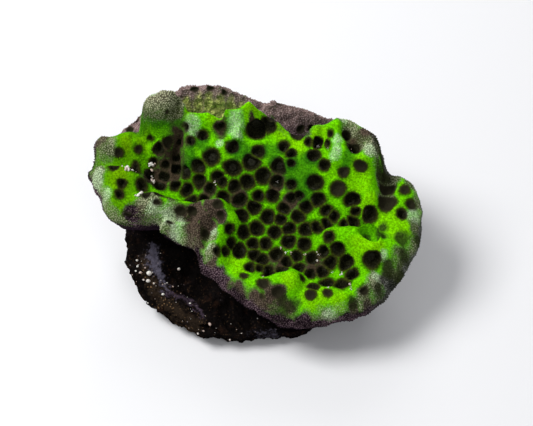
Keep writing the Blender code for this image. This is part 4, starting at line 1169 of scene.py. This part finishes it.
class CORAL_OT_stone(bpy.types.Operator):
    """Roughen the stone and lay its crusts"""

    bl_idname = "coral.roughen_stone"
    bl_label = "Roughen stone"

    def execute(self, context):
        stone, ball = start_ball("live_stone", STONE_CUTS)
        skin = rock_form(ball)
        normal = skin_normals(stone.data, skin)
        lump = broken(skin, LUMP_DENSITY, 0.9, 2.0, 4)
        grain = np.array([noise.noise(Vector(p) * GRAIN_DENSITY) for p in skin])
        rubble = broken(skin, RUBBLE_DENSITY, 0.7, 2.1, 4)
        crust = np.zeros(len(skin))
        x, y = (skin[:, :2] + CRUST_WANDER * rubble[:, None]).T
        for name, chains in CRUSTS.items():
            mask = np.max([chain_height(x, y, chain, CRUST_STEEPNESS) for chain in chains], axis=0)
            mask *= ball[:, 2] > CRUST_FOOT
            keep_mask(stone.data, name, mask)
            crust = np.maximum(crust, mask)
        # The lichens come further forward at the right.
        behind = skin[:, 1] + 0.5 * np.maximum(skin[:, 0] - 8.0, 0.0)
        keep_mask(stone.data, "back", past(behind, *STONE_BACK))
        rough = LUMP_HEIGHT * lump + GRAIN_HEIGHT * grain + lumps(skin)
        rough += RUBBLE_HEIGHT * rubble + CRUST_HEIGHT * crust
        points = skin + normal * rough[:, None]
        points[:, 2] = np.clip(points[:, 2], 0.0, plane(points[:, 1]) - SEAT_DROP - SEAT_GAP)
        set_coords(stone.data, into_box(points * MM))
        finish_piece(stone, stone_material(context.scene.stone_settings), "live_rock", "base_rock")
        return {"FINISHED"}


def grain_pattern():
    """A broken sand grain, modelled once."""
    grain = start_from(bpy.ops.mesh.primitive_ico_sphere_add, subdivisions=2, radius=1.0)
    points = coords(grain.data)
    points *= (1 + 0.28 * wave(points, 0.9, 4.0))[:, None]
    set_coords(grain.data, points)
    return grain


class CORAL_OT_sand(bpy.types.Operator):
    """Drop the shell sand that is caught on the plate and the stone"""

    bl_idname = "coral.drop_sand"
    bl_label = "Drop sand"

    def execute(self, context):
        random = np.random.RandomState(SAND_SEED)
        spots, sizes, normal = [], [], []
        for piece, wanted in (("coral_plate", self.on_plate(random)), ("live_stone", self.on_stone(random))):
            mesh = bpy.data.objects[piece].data
            points, outward = coords(mesh), normals(mesh)
            upper = np.flatnonzero(outward[:, 2] > 0.1)
            for x, y, size in wanted:
                at = upper[np.argmin(np.hypot(points[upper, 0] - x * MM, points[upper, 1] - y * MM))]
                spots.append(points[at] + outward[at] * size * GRAIN_LIFT * MM)
                normal.append(outward[at])
                sizes.append(size * 0.5 * MM * random.uniform(0.6, 1.1, 3))
        frames = frames_on(np.array(normal), random)
        piece, _, _ = repeat_pattern("sand_grains", grain_pattern(), np.array(spots), frames, np.array(sizes))
        finish_piece(piece, sand_material(context.scene.stone_settings), "live_rock")
        return {"FINISHED"}

    def on_plate(self, random):
        """Each caught grain with smaller ones crowded round it."""
        wanted = []
        for x, y, size in CAUGHT_GRAINS:
            wanted.append((x, y, size * 0.7))
            for _ in range(4):
                dx, dy = random.normal(0, 0.4 * size, 2)
                wanted.append((x + dx, y + dy, size * random.uniform(0.3, 0.6)))
        return wanted

    def on_stone(self, random):
        wanted = list(STONE_PEBBLES)
        for x, y, spread, count in STONE_GRAINS:
            for _ in range(count):
                dx, dy = random.normal(0, spread * 0.5, 2)
                wanted.append((x + dx, y + dy, 0.16 + 0.5 * random.uniform() ** 3))
        return wanted


# ---------------------------------------------------------------- stage
FLOOR_SIZE = 12.0
SKY_STRENGTH = 0.3
LIT_POINT = (0, 0.005, 0.02)
# Lamps: name, place, size and power, in metres and watts.
LAMPS = [
    ("key", (-0.28, 0.05, 0.42), 0.22, 2.7),
    ("fill", (0.35, -0.35, 0.35), 0.4, 0.8),
    ("rim", (0.05, 0.45, 0.30), 0.25, 0.8),
]


def add_lamp(name, place, size, power):
    data = bpy.data.lights.new(name, "AREA")
    data.size = size
    data.energy = power
    lamp = bpy.data.objects.new(name, data)
    lamp.location = place
    lamp.rotation_euler = (Vector(LIT_POINT) - Vector(place)).to_track_quat("-Z", "Y").to_euler()
    bpy.context.scene.collection.objects.link(lamp)


def add_camera(stage):
    camera = bpy.data.cameras.new("camera")
    camera.lens = 100
    camera.sensor_width = 36
    camera.clip_start = 0.01
    eye = bpy.data.objects.new("camera", camera)
    back = Vector((0, -math.cos(stage.elevation), math.sin(stage.elevation)))
    eye.location = Vector(stage.look_at) + back * stage.distance
    eye.rotation_euler = (-back).to_track_quat("-Z", "Y").to_euler()
    bpy.context.scene.collection.objects.link(eye)
    bpy.context.scene.camera = eye


class CORAL_OT_stage(bpy.types.Operator):
    """Set the plain floor, the soft light and the camera"""

    bl_idname = "coral.set_stage"
    bl_label = "Set stage"

    def execute(self, context):
        stage = context.scene.stage_settings
        floor = start_from(bpy.ops.mesh.primitive_plane_add, size=FLOOR_SIZE)
        floor.name = "floor"
        floor.data.materials.append(Paint("floor").finish(stage.floor, 0.9, Specular_IOR_Level=0.1))

        world = bpy.data.worlds.new("studio")
        world.use_nodes = True
        background = world.node_tree.nodes["Background"]
        background.inputs["Color"].default_value = (*stage.sky, 1.0)
        background.inputs["Strength"].default_value = SKY_STRENGTH
        context.scene.world = world
        for lamp in LAMPS:
            add_lamp(*lamp)
        add_camera(stage)
        context.scene.view_settings.view_transform = "Standard"
        return {"FINISHED"}


class CORAL_PT_panel(bpy.types.Panel):
    bl_label = "Plate coral"
    bl_idname = "CORAL_PT_panel"
    bl_space_type = "VIEW_3D"
    bl_region_type = "UI"
    bl_category = "Coral"

    def draw(self, context):
        for group in SETTINGS:
            settings = getattr(context.scene, group)
            box = self.layout.box()
            for name in settings.__annotations__:
                box.prop(settings, name)
        for step in STEPS:
            self.layout.operator(step.bl_idname)


STEPS = (CORAL_OT_plate, CORAL_OT_granules, CORAL_OT_calices, CORAL_OT_stone, CORAL_OT_sand, CORAL_OT_stage)
SETTINGS = {
    "coral_settings": CoralSettings,
    "stone_settings": StoneSettings,
    "stage_settings": StageSettings,
}


def register():
    for item in (*SETTINGS.values(), *STEPS, CORAL_PT_panel):
        bpy.utils.register_class(item)
    for name, group in SETTINGS.items():
        setattr(bpy.types.Scene, name, bpy.props.PointerProperty(type=group))


def unregister():
    for name in SETTINGS:
        delattr(bpy.types.Scene, name)
    for item in (CORAL_PT_panel, *STEPS, *SETTINGS.values()):
        bpy.utils.unregister_class(item)


def main():
    register()
    bpy.ops.coral.grow_plate()
    bpy.ops.coral.scatter_granules()
    bpy.ops.coral.set_calices()
    bpy.ops.coral.roughen_stone()
    bpy.ops.coral.drop_sand()
    bpy.ops.coral.set_stage()


if __name__ == "__main__":
    main()
